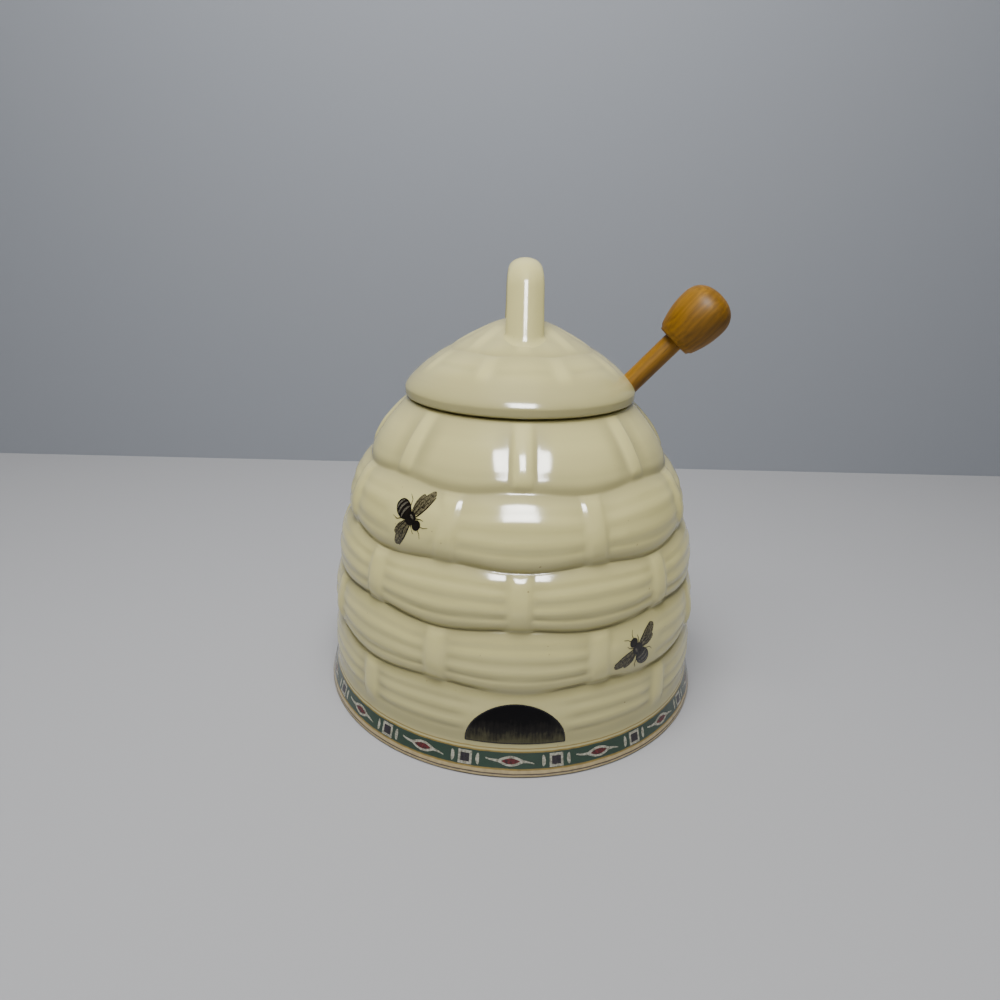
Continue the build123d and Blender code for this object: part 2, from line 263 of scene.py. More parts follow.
def turned(name, rings, angles):
    """A closed mesh of rings (radius, height, facts). Radius 0 is one point. Facts become attributes."""
    points, firsts, facts = [], [], []
    for radius, height, fact in rings:
        firsts.append(len(points))
        around = [0.0] if radius == 0 else angles
        for turn in around:
            angle = 2 * pi * turn - pi / 2
            points.append((radius * cos(angle) * MM, radius * sin(angle) * MM, height * MM))
            facts.append({**fact, "turn": turn})
    faces = []
    count = len(angles)
    for (low, high), (ring_a, ring_b) in zip(zip(firsts, firsts[1:]), zip(rings, rings[1:])):
        for i in range(count):
            j = (i + 1) % count
            if ring_a[0] == 0:
                faces.append((low, high + j, high + i))
            elif ring_b[0] == 0:
                faces.append((low + i, low + j, high))
            else:
                faces.append((low + i, low + j, high + j, high + i))
    mesh = bpy.data.meshes.new(name)
    mesh.from_pydata(points, [], faces)
    for key in ("turn", "along", "phase", "swell", "weave", "loose_low", "loose_high"):
        layer = mesh.attributes.new(key, "FLOAT", "POINT")
        layer.data.foreach_set("value", [fact.get(key, 0.0) for fact in facts])
    return mesh


def arc(centre, radius, start, end, count):
    """Points of a circular arc (r, z) between two angles in degrees."""
    angles = [radians(start + (end - start) * i / count) for i in range(count + 1)]
    return [(centre[0] + radius * cos(a), centre[1] + radius * sin(a)) for a in angles]


def plain(points):
    return [(r, z, {}) for r, z in points]


def spaced(count, crowd=0.08):
    """Shares from 0 to 1, closer together at both ends."""
    return [i / count - crowd * sin(2 * pi * i / count) for i in range(count + 1)]


print("points round the pot:", len(turns()))

# %% [markdown]
# ## The pot's rings
#
# The rings start in the middle under the pot, go out to its foot, up the outside course by course, over the
# rounded lip, and down the inside to the middle of the floor. The outside is still the plain hive here. The
# lip's arc starts at the angle that the hive has there, so that no ridge shows under the lid.

# %% Rings of the pot
COURSE_STEPS = 25


def course_rings(low, high, radius_at, fact):
    """The rings of one course between two seams; along runs from 0 at its lower seam to 1 at its upper."""
    rings = []
    for share in spaced(COURSE_STEPS)[:-1]:
        z = low + (high - low) * share
        rings.append((radius_at(z), z, {**fact, "along": share}))
    return rings


def pot_rings():
    ring_out = FOOT_RADIUS - FOOT_ROUND
    ring_in = ring_out - FOOT_RING
    rings = plain([(0, FOOT_RECESS), (ring_in * 0.5, FOOT_RECESS), (ring_in - 1.6, FOOT_RECESS)])
    rings += plain(arc((ring_in - 0.4, FOOT_RECESS / 2), FOOT_RECESS / 2, 90, -90, 6)[1:])
    rings += plain(arc((ring_out, FOOT_ROUND), FOOT_ROUND, -90, 12, 5))
    first = hive_radius(FOOT_HEIGHT)
    for share in (0.12, 0.25, 0.4, 0.55, 0.7, 0.85):
        z = FOOT_ROUND + (FOOT_HEIGHT - FOOT_ROUND) * share
        rings += plain([(FOOT_RADIUS + (first - FOOT_RADIUS) * share, z)])
    last = len(COURSE_BELLIES) - 1
    for index, (swell, weave) in enumerate(zip(COURSE_BELLIES, COURSE_WEAVES)):
        fact = {"phase": 0.5 * (index % 2), "swell": swell, "weave": weave}
        fact["loose_low"] = 0.0 if index == 0 else 1.0
        fact["loose_high"] = 0.0 if index == last else 1.0
        rings += course_rings(SEAMS[index], SEAMS[index + 1], skin_radius, fact)
    lip_radius = skin_radius(SEAMS[-1]) - LIP_ROLL * cos(radians(LIP_TURN))
    lip = arc((lip_radius, POT_HEIGHT - LIP_DROP - LIP_ROLL), LIP_ROLL, LIP_TURN, 150, 9)
    rings += plain(lip + [(MOUTH_RADIUS, POT_HEIGHT - LIP_DROP - LIP_ROLL)])
    low = FLOOR + FLOOR_CORNER
    for share in (0.04, 0.1, 0.18, 0.28, 0.4, 0.52, 0.64, 0.76, 0.88):
        z = LIP_Z + (low - LIP_Z) * share
        rings += plain([(chamber_radius(z), z)])
    corner = chamber_radius(low) - FLOOR_CORNER
    rings += plain(arc((corner, low), FLOOR_CORNER, 0, -90, 8))
    rings += plain([(corner * 0.5, FLOOR), (0, FLOOR)])
    return rings


pot_mesh = turned("pot", pot_rings(), turns())
print("plain pot:", len(pot_mesh.polygons), "faces")

# %% [markdown]
# ## Straw, as a rule
#
# Each course is a soft rope. It swells most about halfway up and tucks in at both seams. Eight bands of
# binding cane cross it, each course's bands standing half a step round from the next one's. Between two
# bands the rope sags a little, so the seams hang in shallow curves, and four strands of straw lie over each
# other like shingles. The mould was left calm in three places: where the two bees are printed, and round
# the door.
#
# All of that is a rule, not a sculpture, so Geometry Nodes compute it. The tree reads how far up its course
# a point is and how far it is from the nearest band. It then moves the point out from the wall, and up or
# down along it. The sizes are the tree's inputs, in millimetres, so the lid can use the same tree with
# smaller ones.

# %% The straw tree
BEES = {
    "upper": {"height": 66.9, "turn": -34.6, "heading": -32.0},
    "lower": {"height": 32.7, "turn": 34.6, "heading": 124.0},
}
DOOR_SILL = 9.5
DOOR_RISE = 12.1
DOOR_HALF = 13.2


def on_hive(height, turn):
    """Point of the hive's plain curve at a height in mm and a turn from the front in degrees, in metres."""
    angle = radians(turn)
    return Vector((hive_radius(height) * sin(angle), -hive_radius(height) * cos(angle), height)) * MM


STRAW_SIZES = {
    "Stitches": float(STITCHES), "Stitch Width": 5.4, "Stitch Proud": 0.05, "Stitch Crown": 0.42,
    "Soft Edge": 1.7, "Pinch": 0.45, "Pinch Reach": 6.5, "Strands": 4.0, "Strand Depth": 0.6, "Waver": 0.22,
    "Scallop": 0.7, "Seam Depth": 0.4, "Seam Width": 1.5, "Course Height": 17.0, "Hand": 0.16,
}
CALM_SPOTS = {
    f"{name.title()} Spot": tuple(on_hive(spot["height"], spot["turn"])) for name, spot in BEES.items()}
CALM_SPOTS["Door Spot"] = tuple(on_hive(DOOR_SILL + DOOR_RISE * 0.35, 0.0))
CALM_REACHES = {"Upper Reach": 9.0, "Lower Reach": 9.0, "Door Reach": 14.5}
BELLY_POINTS = ((0.0, 0.0), (0.1, 0.36), (0.22, 0.7), (0.38, 0.94), (0.54, 1.0), (0.75, 0.68), (0.9, 0.26),
                (1.0, 0.0))
BAND_POINTS = ((0.0, 0.0), (0.1, 0.48), (0.22, 0.82), (0.38, 1.0), (0.7, 0.76), (0.9, 0.42), (1.0, 0.1))
STRAND_POINTS = ((0.0, 0.0), (0.15, 0.66), (0.34, 1.0), (0.72, 0.8), (0.92, 0.36), (1.0, 0.0))


def set_curve(node, points):
    """Lays a Float Curve node's line through the points."""
    line = node.mapping.curves[0]
    while len(line.points) < len(points):
        line.points.new(0.5, 0.5)
    for handle, (x, y) in zip(line.points, points):
        handle.location = (x, y)
    node.mapping.update()


def straw_tree():
    numbers = [(name, "Float") for name in (*STRAW_SIZES, *CALM_REACHES)]
    places = [(name, "Vector") for name in CALM_SPOTS]
    tree, size = new_tree("straw", (*numbers, *places, ("Material", "Material")))

    def math(operation, *values):
        return calc(tree, operation, *values)

    def vector(operation, a, b=(0, 0, 0), scale=1.0):
        node = add(tree, "ShaderNodeVectorMath", {0: a, 1: b, 3: scale}, operation=operation)
        if operation in ("LENGTH", "DISTANCE"):
            return Number(tree, node.outputs["Value"])
        return node.outputs["Vector"]

    def fact(name):
        node = add(tree, "GeometryNodeInputNamedAttribute", {"Name": name}, data_type="FLOAT")
        return Number(tree, node.outputs["Attribute"])

    def ramp(value, start, end, low=0.0, high=1.0):
        """low up to start, high from end, and a soft slope between."""
        node = add(tree, "ShaderNodeMapRange", {"Value": value, 1: start, 2: end, 3: low, 4: high},
                   interpolation_type="SMOOTHSTEP")
        return Number(tree, node.outputs[0])

    def shaped(value, points):
        node = add(tree, "ShaderNodeFloatCurve", {"Value": value})
        set_curve(node, points)
        return Number(tree, node.outputs[0])

    def drift(scale):
        """A slow noise round zero."""
        node = add(tree, "ShaderNodeTexNoise", {"Vector": place_now, "Scale": scale, "Detail": 1.0})
        return Number(tree, node.outputs[0]) - 0.5

    along, swell = fact("along"), fact("swell")
    place_now = add(tree, "GeometryNodeInputPosition").outputs[0]
    outward = add(tree, "GeometryNodeInputNormal").outputs["Normal"]
    flat = vector("MULTIPLY", place_now, (1, 1, 0))
    radius_mm = vector("LENGTH", flat) * 1000.0

    # how far the point is from the nearest band, in cells and in millimetres
    cells = fact("turn") * size["Stitches"] - fact("phase")
    offset = cells - math("ROUND", cells)
    distance = math("ABSOLUTE", offset) * (radius_mm * (2 * pi) / size["Stitches"])
    half_band = size["Stitch Width"] * 0.5
    half_soft = size["Soft Edge"] * 0.5
    band = ramp(distance, half_band - half_soft, half_band + half_soft, 1.0, 0.0)
    beyond = distance - half_band

    # nothing of the weave shows in a calm place: neither strands nor bands
    busy = 1.0
    for spot, reach in zip(CALM_SPOTS, CALM_REACHES):
        away = vector("DISTANCE", place_now, size[spot]) * 1000.0 / size[reach]
        busy = busy * ramp(away, 0.8, 1.2)
    weave = fact("weave") * busy
    band = band * busy

    # the rope between two bands: belly, pinched beside a band, with wavering strands that end at it
    pinch = ramp(beyond, -0.5, size["Pinch Reach"], 1.0, 0.0) * size["Pinch"] * busy
    waver = drift(55.0) * size["Waver"]
    strand_place = math("FRACT", math("MAXIMUM", along * size["Strands"] + waver, 0.0))
    strand = shaped(strand_place, STRAND_POINTS) - 1.0
    depth = ramp(beyond, -0.2, 1.8) * size["Strand Depth"] * weave * ramp(along, 0.5, 0.85, 1.0, 0.15)
    rope = shaped(along, BELLY_POINTS) * (swell - pinch) + strand * depth

    # the band itself is straighter than the rope, rounded across, and rounds down at both ends
    across = distance / half_band
    crown = math("MAXIMUM", 1.0 - across * across, 0.0)
    raised = size["Stitch Proud"] + crown * size["Stitch Crown"]
    bound = shaped(along, BAND_POINTS) * (swell + raised)
    lift = rope * (1.0 - band) + bound * band

    # the groove in the seams
    to_seam = math("MINIMUM", along, 1.0 - along) * size["Course Height"]
    nearer = to_seam / size["Seam Width"]
    groove = math("EXPONENT", nearer * nearer * -1.0) * size["Seam Depth"]
    open_low = fact("loose_low") * ramp(along, 0.4, 0.6, 1.0, 0.0)
    open_high = fact("loose_high") * ramp(along, 0.4, 0.6)
    lift = lift - groove * (open_low + open_high)

    # a course that starts on a plain edge grows out of it slowly
    lift = lift * math("MAXIMUM", fact("loose_low"), ramp(along, 0.0, 0.4))

    # uneven hands: a slow swelling over the whole piece, wherever there is straw
    lift = (lift + drift(38.0) * (size["Hand"] * 2.0)) * ramp(swell, 0.0, 0.05)

    # the sag of the lower edge between bands, and of the upper edge under the course above
    rest = 1.0 - along
    hang = rest * rest * fact("loose_low") - along * along * fact("loose_high")
    sag = math("COSINE", cells * (2 * pi)) * size["Scallop"] * hang
    east = vector("NORMALIZE", vector("CROSS_PRODUCT", (0, 0, 1), flat))
    uphill = vector("CROSS_PRODUCT", outward, east)

    move_out = vector("SCALE", outward, scale=lift * MM)
    move_up = vector("SCALE", uphill, scale=sag * MM)
    moved = add(tree, "GeometryNodeSetPosition", {
        "Geometry": size["Geometry"], "Offset": vector("ADD", move_out, move_up)})
    kept = add(tree, "GeometryNodeStoreNamedAttribute", {
        "Geometry": moved.outputs[0], "Name": "crest", "Value": lift / (swell + 0.4)},
        data_type="FLOAT", domain="POINT")
    real = add(tree, "GeometryNodeRealizeInstances", {"Geometry": kept.outputs[0]})
    coated = add(tree, "GeometryNodeSetMaterial", {"Geometry": real.outputs[0], "Material": size["Material"]})
    add(tree, "NodeGroupOutput", {"Geometry": coated.outputs[0]})
    return tree


def run_tree(piece, tree, values):
    """Runs a geometry tree on a piece, with values for its named inputs, and keeps the mesh that it makes."""
    modifier = piece.modifiers.new(tree.name, "NODES")
    modifier.node_group = tree
    for item in tree.interface.items_tree:
        if item.in_out == "INPUT" and item.name in values:
            modifier[item.identifier] = values[item.name]
    return settle(piece)


STRAW = straw_tree()
print("straw tree:", len(STRAW.nodes), "nodes")

# %% [markdown]
# ## Glaze
#
# The body is white stoneware under a clear, yellowish glaze: a hard, glossy glass with a refractive index
# near 1.6. Molten glaze runs off the crests and gathers in the seams, so the crests look lighter and the
# seams a little deeper and greyer. The straw tree left a height called crest on every point, and the colour
# follows it. Iron in the clay burns through as rare specks.
#
# The foot carries bands of colour, put on with a brush while the pot spins on a banding wheel. They are
# flat in height and run all the way round, so the material needs only the height above the table to find
# them. One ramp holds the bands: its colour is the band's, its alpha is how much of the glaze it covers.
# The very foot is wiped bare, or it would fuse to the kiln shelf. The ramp's lowest brown, under 0.3 mm,
# is not a band but painted shadow where the foot meets the table.

# %% Cream glaze
GLAZE_PALE = "#d5cc8b"
GLAZE_POOLED = "#b0a876"
GLAZE_SPECK = "#8f7a4c"
GOLD_LINE = "#8a7230"
BORDER_GREEN = "#0d311d"
FOOT_TAN = "#ad9b70"
# brown for a printed line, and also painted shadow at the very foot
FOOT_BROWN_AND_SHADOW = "#4b4035"
BAND_SCALE = 10.0
# from the table up, in mm: the brown from 0 to 0.3 is painted shadow where the foot meets the table, the
# brown from 1.0 to 1.25 is a printed line
FOOT_BANDS_AND_SHADOW = (
    (0.0, FOOT_BROWN_AND_SHADOW, 1.0), (0.3, FOOT_BROWN_AND_SHADOW, 1.0), (0.45, FOOT_TAN, 1.0), (0.9, FOOT_TAN, 1.0),
    (1.0, FOOT_BROWN_AND_SHADOW, 1.0), (1.25, FOOT_BROWN_AND_SHADOW, 1.0), (1.4, FOOT_TAN, 1.0), (2.1, FOOT_TAN, 1.0),
    (2.3, GOLD_LINE, 1.0), (2.55, GOLD_LINE, 1.0), (2.75, BORDER_GREEN, 1.0), (6.85, BORDER_GREEN, 1.0),
    (7.0, GOLD_LINE, 1.0), (7.25, GOLD_LINE, 1.0), (7.4, GOLD_LINE, 0.0), (7.75, GOLD_LINE, 0.0),
    (7.85, GOLD_LINE, 0.8), (8.05, GOLD_LINE, 0.8), (8.2, GOLD_LINE, 0.0),
)


def new_material(name):
    material = bpy.data.materials.new(name)
    material.use_nodes = True
    tree = material.node_tree
    return material, tree, tree.nodes["Principled BSDF"]


def set_ramp(node, stops):
    """Gives a Color Ramp node its stops (position, colour, alpha), from the lowest up."""
    marks = node.color_ramp.elements
    while len(marks) < len(stops):
        marks.new(1.0)
    for mark, (position, colour, alpha) in zip(marks, stops):
        mark.position = position
        mark.color = tint(colour, alpha)


def cream_glaze():
    material, tree, surface = new_material("cream_glaze_on_stoneware")

    def noise(scale, detail=1.0):
        node = add(tree, "ShaderNodeTexNoise", {"Vector": coords, "Scale": scale, "Detail": detail})
        return Number(tree, node.outputs[0])

    def blend(share, a, b, mode="MIX"):
        node = add(tree, "ShaderNodeMix", {0: share, 6: a, 7: b}, data_type="RGBA", blend_type=mode)
        return node.outputs[2]

    coords = add(tree, "ShaderNodeTexCoord").outputs["Object"]
    crest = add(tree, "ShaderNodeAttribute", attribute_name="crest").outputs["Fac"]
    depth = add(tree, "ShaderNodeMapRange", {"Value": crest, 1: -0.3, 2: 0.75},
                interpolation_type="SMOOTHSTEP")
    glaze = blend(depth.outputs[0], tint(GLAZE_POOLED), tint(GLAZE_PALE))
    speck = add(tree, "ShaderNodeMapRange", {"Value": noise(900.0), 1: 0.79, 2: 0.83, 3: 0.0, 4: 0.7})
    glaze = blend(speck.outputs[0], glaze, tint(GLAZE_SPECK))

    # the bands, and the painted shadow at the very foot: outside the foot only, with the small wander of a
    # brush
    spot = add(tree, "ShaderNodeSeparateXYZ", {0: coords}).outputs
    around = add(tree, "ShaderNodeVectorMath", {0: coords, 1: (1, 1, 0)}, operation="MULTIPLY").outputs[0]
    radius = add(tree, "ShaderNodeVectorMath", {0: around}, operation="LENGTH").outputs["Value"]
    outside = calc(tree, "GREATER_THAN", radius, (FOOT_RADIUS - 3.5) * MM)
    wander = noise(260.0, 2.0) * 0.0003 + spot["Z"]
    height = wander * (1 / (BAND_SCALE * MM))
    bands = add(tree, "ShaderNodeValToRGB", {0: height})
    set_ramp(bands, [((z + 0.15) / BAND_SCALE, colour, alpha) for z, colour, alpha in FOOT_BANDS_AND_SHADOW])
    strokes = add(tree, "ShaderNodeMapRange", {"Value": noise(650.0, 3.0), 1: 0.35, 2: 0.7, 3: 0.88, 4: 1.16})
    brushed = blend(1.0, bands.outputs["Color"], strokes.outputs[0], "MULTIPLY")
    cover = outside * bands.outputs["Alpha"]
    tree.links.new(blend(cover, glaze, brushed), surface.inputs["Base Color"])

    # glossy all over, except for the wiped foot
    bare = add(tree, "ShaderNodeMapRange", {"Value": spot["Z"], 1: 0.0007, 2: 0.0011, 3: 0.75, 4: 0.14})
    tree.links.new(bare.outputs[0], surface.inputs["Roughness"])
    surface.inputs["IOR"].default_value = 1.62
    # a fired glaze is never quite flat: a slow ripple some 6 mm across
    bump = add(tree, "ShaderNodeBump", {"Height": noise(160.0), "Strength": 0.12, "Distance": 0.0006})
    tree.links.new(bump.outputs[0], surface.inputs["Normal"])
    return material


GLAZE = cream_glaze()
pot = place("pot_body_glazed", pot_mesh)
run_tree(pot, STRAW, {**STRAW_SIZES, **CALM_SPOTS, **CALM_REACHES, "Material": GLAZE})
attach(pot, "pot")
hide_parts("pot_body")

# %% [markdown]
# ## The lid's rings
#
# The lid is a low dome with the same straw on it, only fainter. Under it a ring keeps it centred in the
# mouth, and its hollow leaves room for air over the honey. Its outline is another formula: steep at the
# edge, flatter above, and rounded off at the crown. The rings start in the middle of the hollow, go down
# round the locating ring and out to the edge, then up over the dome, so that the finished skin is closed
# and faces outwards.

# %% Measures and rings of the lid
LID_INSET = 0.75
LID_SEAT = 0.2
LID_EDGE = 2.5
LID_RISE = 22.6
LID_FULLNESS = 1.41
LID_NOSE = 0.8
LID_LIFT = 0.15
CROWN_RADIUS = 10.0
LID_WALL = 4.8
LID_COURSE_RADIUS = 21.0
LID_CROWN_COURSE = 9.0
LID_BORDER = 31.6
FLANGE_WALL = 3.0
FLANGE_DEPTH = 5.0
LID_FIT = 0.6
LID_BOTTOM = POT_HEIGHT + LID_SEAT
LID_WIDEST_Z = LID_BOTTOM + LID_EDGE
LID_RADIUS = LIP_RADIUS + RIM_WALL / 2 - LID_INSET


def dome(r):
    """Height of the lid's plain outside at radius r: its curve, with an arc over the crown."""
    def curve(r_at):
        return LID_WIDEST_Z + LID_RISE * (1 - r_at / LID_RADIUS) ** (1 / LID_FULLNESS)
    if r >= CROWN_RADIUS:
        return curve(min(r, LID_RADIUS))
    slope = (curve(CROWN_RADIUS - 0.1) - curve(CROWN_RADIUS + 0.1)) / 0.2
    ball = CROWN_RADIUS / sin(atan(slope))
    return curve(CROWN_RADIUS) + sqrt(ball ** 2 - r ** 2) - sqrt(ball ** 2 - CROWN_RADIUS ** 2)


def lid_course(outer, inner, fact):
    """Rings of one course of the lid, from its outer seam up to its inner one."""
    rings = []
    for share in spaced(COURSE_STEPS)[:-1]:
        r = outer + (inner - outer) * share
        rings.append((r, dome(r), {**fact, "along": share}))
    return rings


def lid_rings():
    hollow = MOUTH_RADIUS - LID_FIT - FLANGE_WALL
    low = LID_BOTTOM - FLANGE_DEPTH
    shares = (0, 0.1, 0.25, 0.45, 0.65, 0.82, 0.94)
    rings = plain([(hollow * share, dome(hollow * share) - LID_WALL) for share in shares])
    rings += plain([(hollow - 0.15, dome(hollow) - LID_WALL - 0.1), (hollow, dome(hollow) - LID_WALL - 0.6)])
    rings += plain(arc((hollow + FLANGE_WALL / 2, low + FLANGE_WALL / 2), FLANGE_WALL / 2, 180, 360, 12))
    outer = hollow + FLANGE_WALL
    rings += plain([(outer, LID_BOTTOM - 0.5), (outer + 0.12, LID_BOTTOM - 0.12), (outer + 0.5, LID_BOTTOM)])
    rings += plain([(outer + 1.0, LID_BOTTOM)])
    edge, under = LID_RADIUS - LID_NOSE, LID_BOTTOM + LID_NOSE + LID_LIFT
    rings += plain(arc((edge, under), LID_NOSE, -90, 0, 9))
    rings += plain([(LID_RADIUS, under + (LID_WIDEST_Z - under) * share) for share in (0.33, 0.66)])
    # the curve is steep at the edge, so equal steps along it are uneven steps in radius
    for i in range(16):
        r = LID_RADIUS + (LID_BORDER - LID_RADIUS) * (i / 16) ** 1.5
        rings += plain([(r, dome(r))])
    lower = {"phase": 0.5, "swell": 0.16, "weave": 1.0, "loose_high": 1.0}
    upper = {"swell": 0.09, "weave": 0.6, "loose_low": 1.0}
    rings += lid_course(LID_BORDER, LID_COURSE_RADIUS, lower)
    rings += lid_course(LID_COURSE_RADIUS, LID_CROWN_COURSE, upper)
    rings += plain([(r, dome(r)) for r in (LID_CROWN_COURSE, 7.5, 5.5, 3, 0)])
    return rings


lid_mesh = turned("lid", lid_rings(), turns())
lid = place("lid_glazed", lid_mesh)
LID_STRAW = {
    **STRAW_SIZES, "Stitch Width": 4.8, "Stitch Proud": 0.0, "Stitch Crown": 0.12, "Soft Edge": 2.2,
    "Pinch": 0.08, "Strands": 2.0, "Strand Depth": 0.12, "Scallop": 0.4, "Seam Depth": 0.03,
    "Seam Width": 1.2, "Course Height": 12.0, "Hand": 0.1, "Material": GLAZE}
run_tree(lid, STRAW, {**LID_STRAW, **CALM_REACHES})

# %% [markdown]
# ## The notch
#
# The dipper's rod leaves the closed pot through an arched notch in the lid's edge. It is open below, so
# that the lid lifts straight off. A Boolean is right here: the notch is a clean cut through a finished
# shape, and it would be hard to plan into the rings. Its cutter is an arch, drawn once and pushed through
# the edge. Dipper and notch share one turn round the pot, a little towards the front from +X.

# %% Notch
DIPPER_LEAN = radians(41.8)
DIPPER_TURN = radians(5.5)
ROD_RADIUS = 3.0
ROD_REST = 0.2
NOTCH_GAP = 0.8
NOTCH_HALF = ROD_RADIUS + NOTCH_GAP
NOTCH_TOP = 99.42
LIP_POINT = Vector((LIP_RADIUS - (RIM_WALL / 2 + ROD_REST + ROD_RADIUS) * cos(DIPPER_LEAN), 0,
                    LIP_Z + (RIM_WALL / 2 + ROD_REST + ROD_RADIUS) * sin(DIPPER_LEAN)))


def notch_cutter():
    low = LID_BOTTOM - FLANGE_DEPTH - 1
    outline = [(-NOTCH_HALF, low)]
    outline += [(-y, z) for y, z in arc((0, NOTCH_TOP - NOTCH_HALF), NOTCH_HALF, 0, 180, 24)]
    outline += [(NOTCH_HALF, low)]
    near, far = LID_RADIUS / 2, LID_RADIUS * 1.5
    points = [(x * MM, y * MM, z * MM) for x in (near, far) for y, z in outline]
    count = len(outline)
    faces = [tuple(range(count))[::-1], tuple(range(count, 2 * count))]
    faces += [(i, (i + 1) % count, count + (i + 1) % count, count + i) for i in range(count)]
    mesh = bpy.data.meshes.new("notch")
    mesh.from_pydata(points, [], faces)
    mesh.transform(Matrix.Rotation(-DIPPER_TURN, 4, "Z"))
    return place("notch_cutter", mesh)


cutter = notch_cutter()
cut = lid.modifiers.new("notch", "BOOLEAN")
cut.operation = "DIFFERENCE"
cut.solver = "EXACT"
cut.object = cutter
settle(lid)
bpy.data.objects.remove(cutter)
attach(lid, "lid_group")
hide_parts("lid")

# %% [markdown]
# ## The loop
#
# The lid's handle is a pulled strap: a thick ribbon of clay with a soft ridge along its outside, bent over
# and luted on with slip at both ends. Its section is swept along a path of two splayed legs and a bend.
# Near the dome every point is pushed outwards a little, the more the closer it is, which makes the wet
# fillet of slip that holds a real handle.

# %% Loop
LOOP_TOP = 130.74
LOOP_ARCH = 11.6
LOOP_LEAN = radians(22)
LOOP_ROOT = 105.0
LOOP_DEPTH = 1.5
LOOP_OFF = 0.45
STRAP_WIDE = 5.25
STRAP_OUT = 3.5
STRAP_IN = 1.8


def loop_path(steps_leg, steps_arch):
    """Points (y, z) and their outward angle along the outside line of the loop: leg, bend, leg."""
    centre_z = LOOP_TOP - LOOP_ARCH
    bend_y, bend_z = LOOP_ARCH * cos(LOOP_LEAN), centre_z + LOOP_ARCH * sin(LOOP_LEAN)
    half = []
    for i in range(steps_leg):
        fall = (bend_z - LOOP_ROOT) * (1 - (i / steps_leg) ** 1.6)
        half.append((bend_y + fall * tan(LOOP_LEAN), bend_z - fall, LOOP_LEAN))
    for i in range(steps_arch + 1):
        angle = LOOP_LEAN + (pi / 2 - LOOP_LEAN) * i / steps_arch
        half.append((LOOP_ARCH * cos(angle), centre_z + LOOP_ARCH * sin(angle), angle))
    return [(-y, z, pi - a) for y, z, a in half] + [(y, z, a) for y, z, a in half[-2::-1]]


def strap_section(y, z, angle, count=48):
    """One ring of the strap: flat within, ridged outside, with a fillet of slip where it nears the dome."""
    out = Vector((0, cos(angle), sin(angle)))
    wide = STRAP_WIDE - 0.25 * max(0.0, sin(angle)) ** 4 + 0.02 * max(0.0, 120 - z)
    middle = Vector((LOOP_OFF, y, z)) - out * STRAP_OUT
    ring = []
    for i in range(count):
        a = 2 * pi * i / count
        side = abs(sin(a)) ** 0.95 * (1 if sin(a) > 0 else -1) * wide
        ridge = 0.38 * abs(cos(angle))
        lift = STRAP_OUT * ((1 - ridge) * cos(a) + ridge * cos(a) ** 4) if cos(a) > 0 else STRAP_IN * cos(a)
        point = middle + Vector((side, 0, 0)) + out * lift
        # the foot ends inside the lid's wall. Near the dome the point slides outwards on a quarter circle
        slip = 0.9 + 0.9 * max(cos(a), 0.0) ** 2
        under = dome(point.xy.length)
        point.z = max(point.z, under - LOOP_DEPTH)
        gap = min(max(point.z + 0.1 - under, 0.0), slip)
        away = Vector((side * 0.6, out.y * lift)).normalized()
        moved = point.xy + away * (slip - sqrt(slip ** 2 - (slip - gap) ** 2))
        ring.append(Vector((*moved, point.z + dome(moved.length) - under)) * MM)
    return ring


def loop_mesh():
    rings = [strap_section(*step) for step in loop_path(56, 24)]
    around = len(rings[0])
    faces = []
    for k in range(len(rings) - 1):
        for i in range(around):
            j = (i + 1) % around
            faces.append((k * around + i, k * around + j, (k + 1) * around + j, (k + 1) * around + i))
    last = (len(rings) - 1) * around
    faces.append(tuple(range(around))[::-1])
    faces.append(tuple(last + i for i in range(around)))
    points = [point for ring in rings for point in ring]
    mesh = bpy.data.meshes.new("loop")
    mesh.from_pydata(points, [], faces)
    mesh.polygons.foreach_set("use_smooth", [True] * len(mesh.polygons))
    crest = mesh.attributes.new("crest", "FLOAT", "POINT")
    crest.data.foreach_set("value", [0.7] * len(points))
    return mesh


loop = place("lid_loop_glazed", loop_mesh(), GLAZE)
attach(loop, "lid_group")
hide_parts("lid_loop")
print("loop:", len(loop.data.polygons), "faces")

# %% [markdown]
# ## The dipper
#
# Three turned pieces of beech: a stock dowel, an egg-shaped knob glued on one end, and inside the pot a
# barrel with grooves that hold the honey. They are turned upright round their own axis, and one matrix
# leans them over the lip. The grain has to run along that axis too, so the wood's pattern is turned back by
# the same lean.

# %% Dipper shapes
ROD_OUT = 21.0
ROD_SEAT = 9.0
GLUE = 0.05
HEAD_NOSE = 3.0
KNOB_LENGTH = 17.8
KNOB_RADIUS = 8.0
KNOB_WIDEST = 10.4
KNOB_NECK = 5.4
HEAD_LENGTH = 34.0
HEAD_RADIUS = 11.0
HEAD_END = 6.6
HEAD_DISCS = 6
DISC_GAP = 2.6
CORE_RADIUS = 5.5
TURN = Matrix.Rotation(-DIPPER_TURN, 4, "Z")
AXIS = TURN @ Matrix.Translation(LIP_POINT * MM) @ Matrix.Rotation(DIPPER_LEAN, 4, "Y")
head_low, head_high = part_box("dipper_head")
HEAD_MIDDLE = (AXIS.inverted() @ ((head_low + head_high) / 2)).z / MM


def knob_radius(t):
    """Radius of the knob at distance t from its flat end: it swells to its widest line, then closes round."""
    if t < KNOB_WIDEST:
        return KNOB_NECK + (KNOB_RADIUS - KNOB_NECK) * sin(pi / 2 * t / KNOB_WIDEST) ** 0.85
    share = (t - KNOB_WIDEST) / (KNOB_LENGTH - KNOB_WIDEST)
    return KNOB_RADIUS * (1 - share ** 2.6) ** 0.45


def wooden(name, node, rings, count=96):
    mesh = turned(name, rings, [i / count for i in range(count)])
    mesh.transform(AXIS)
    mesh.polygons.foreach_set("use_smooth", [True] * len(mesh.polygons))
    piece = place(name, mesh)
    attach(piece, "dipper")
    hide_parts(node)
    print(f"{name}: {len(mesh.polygons)} faces")
    return piece


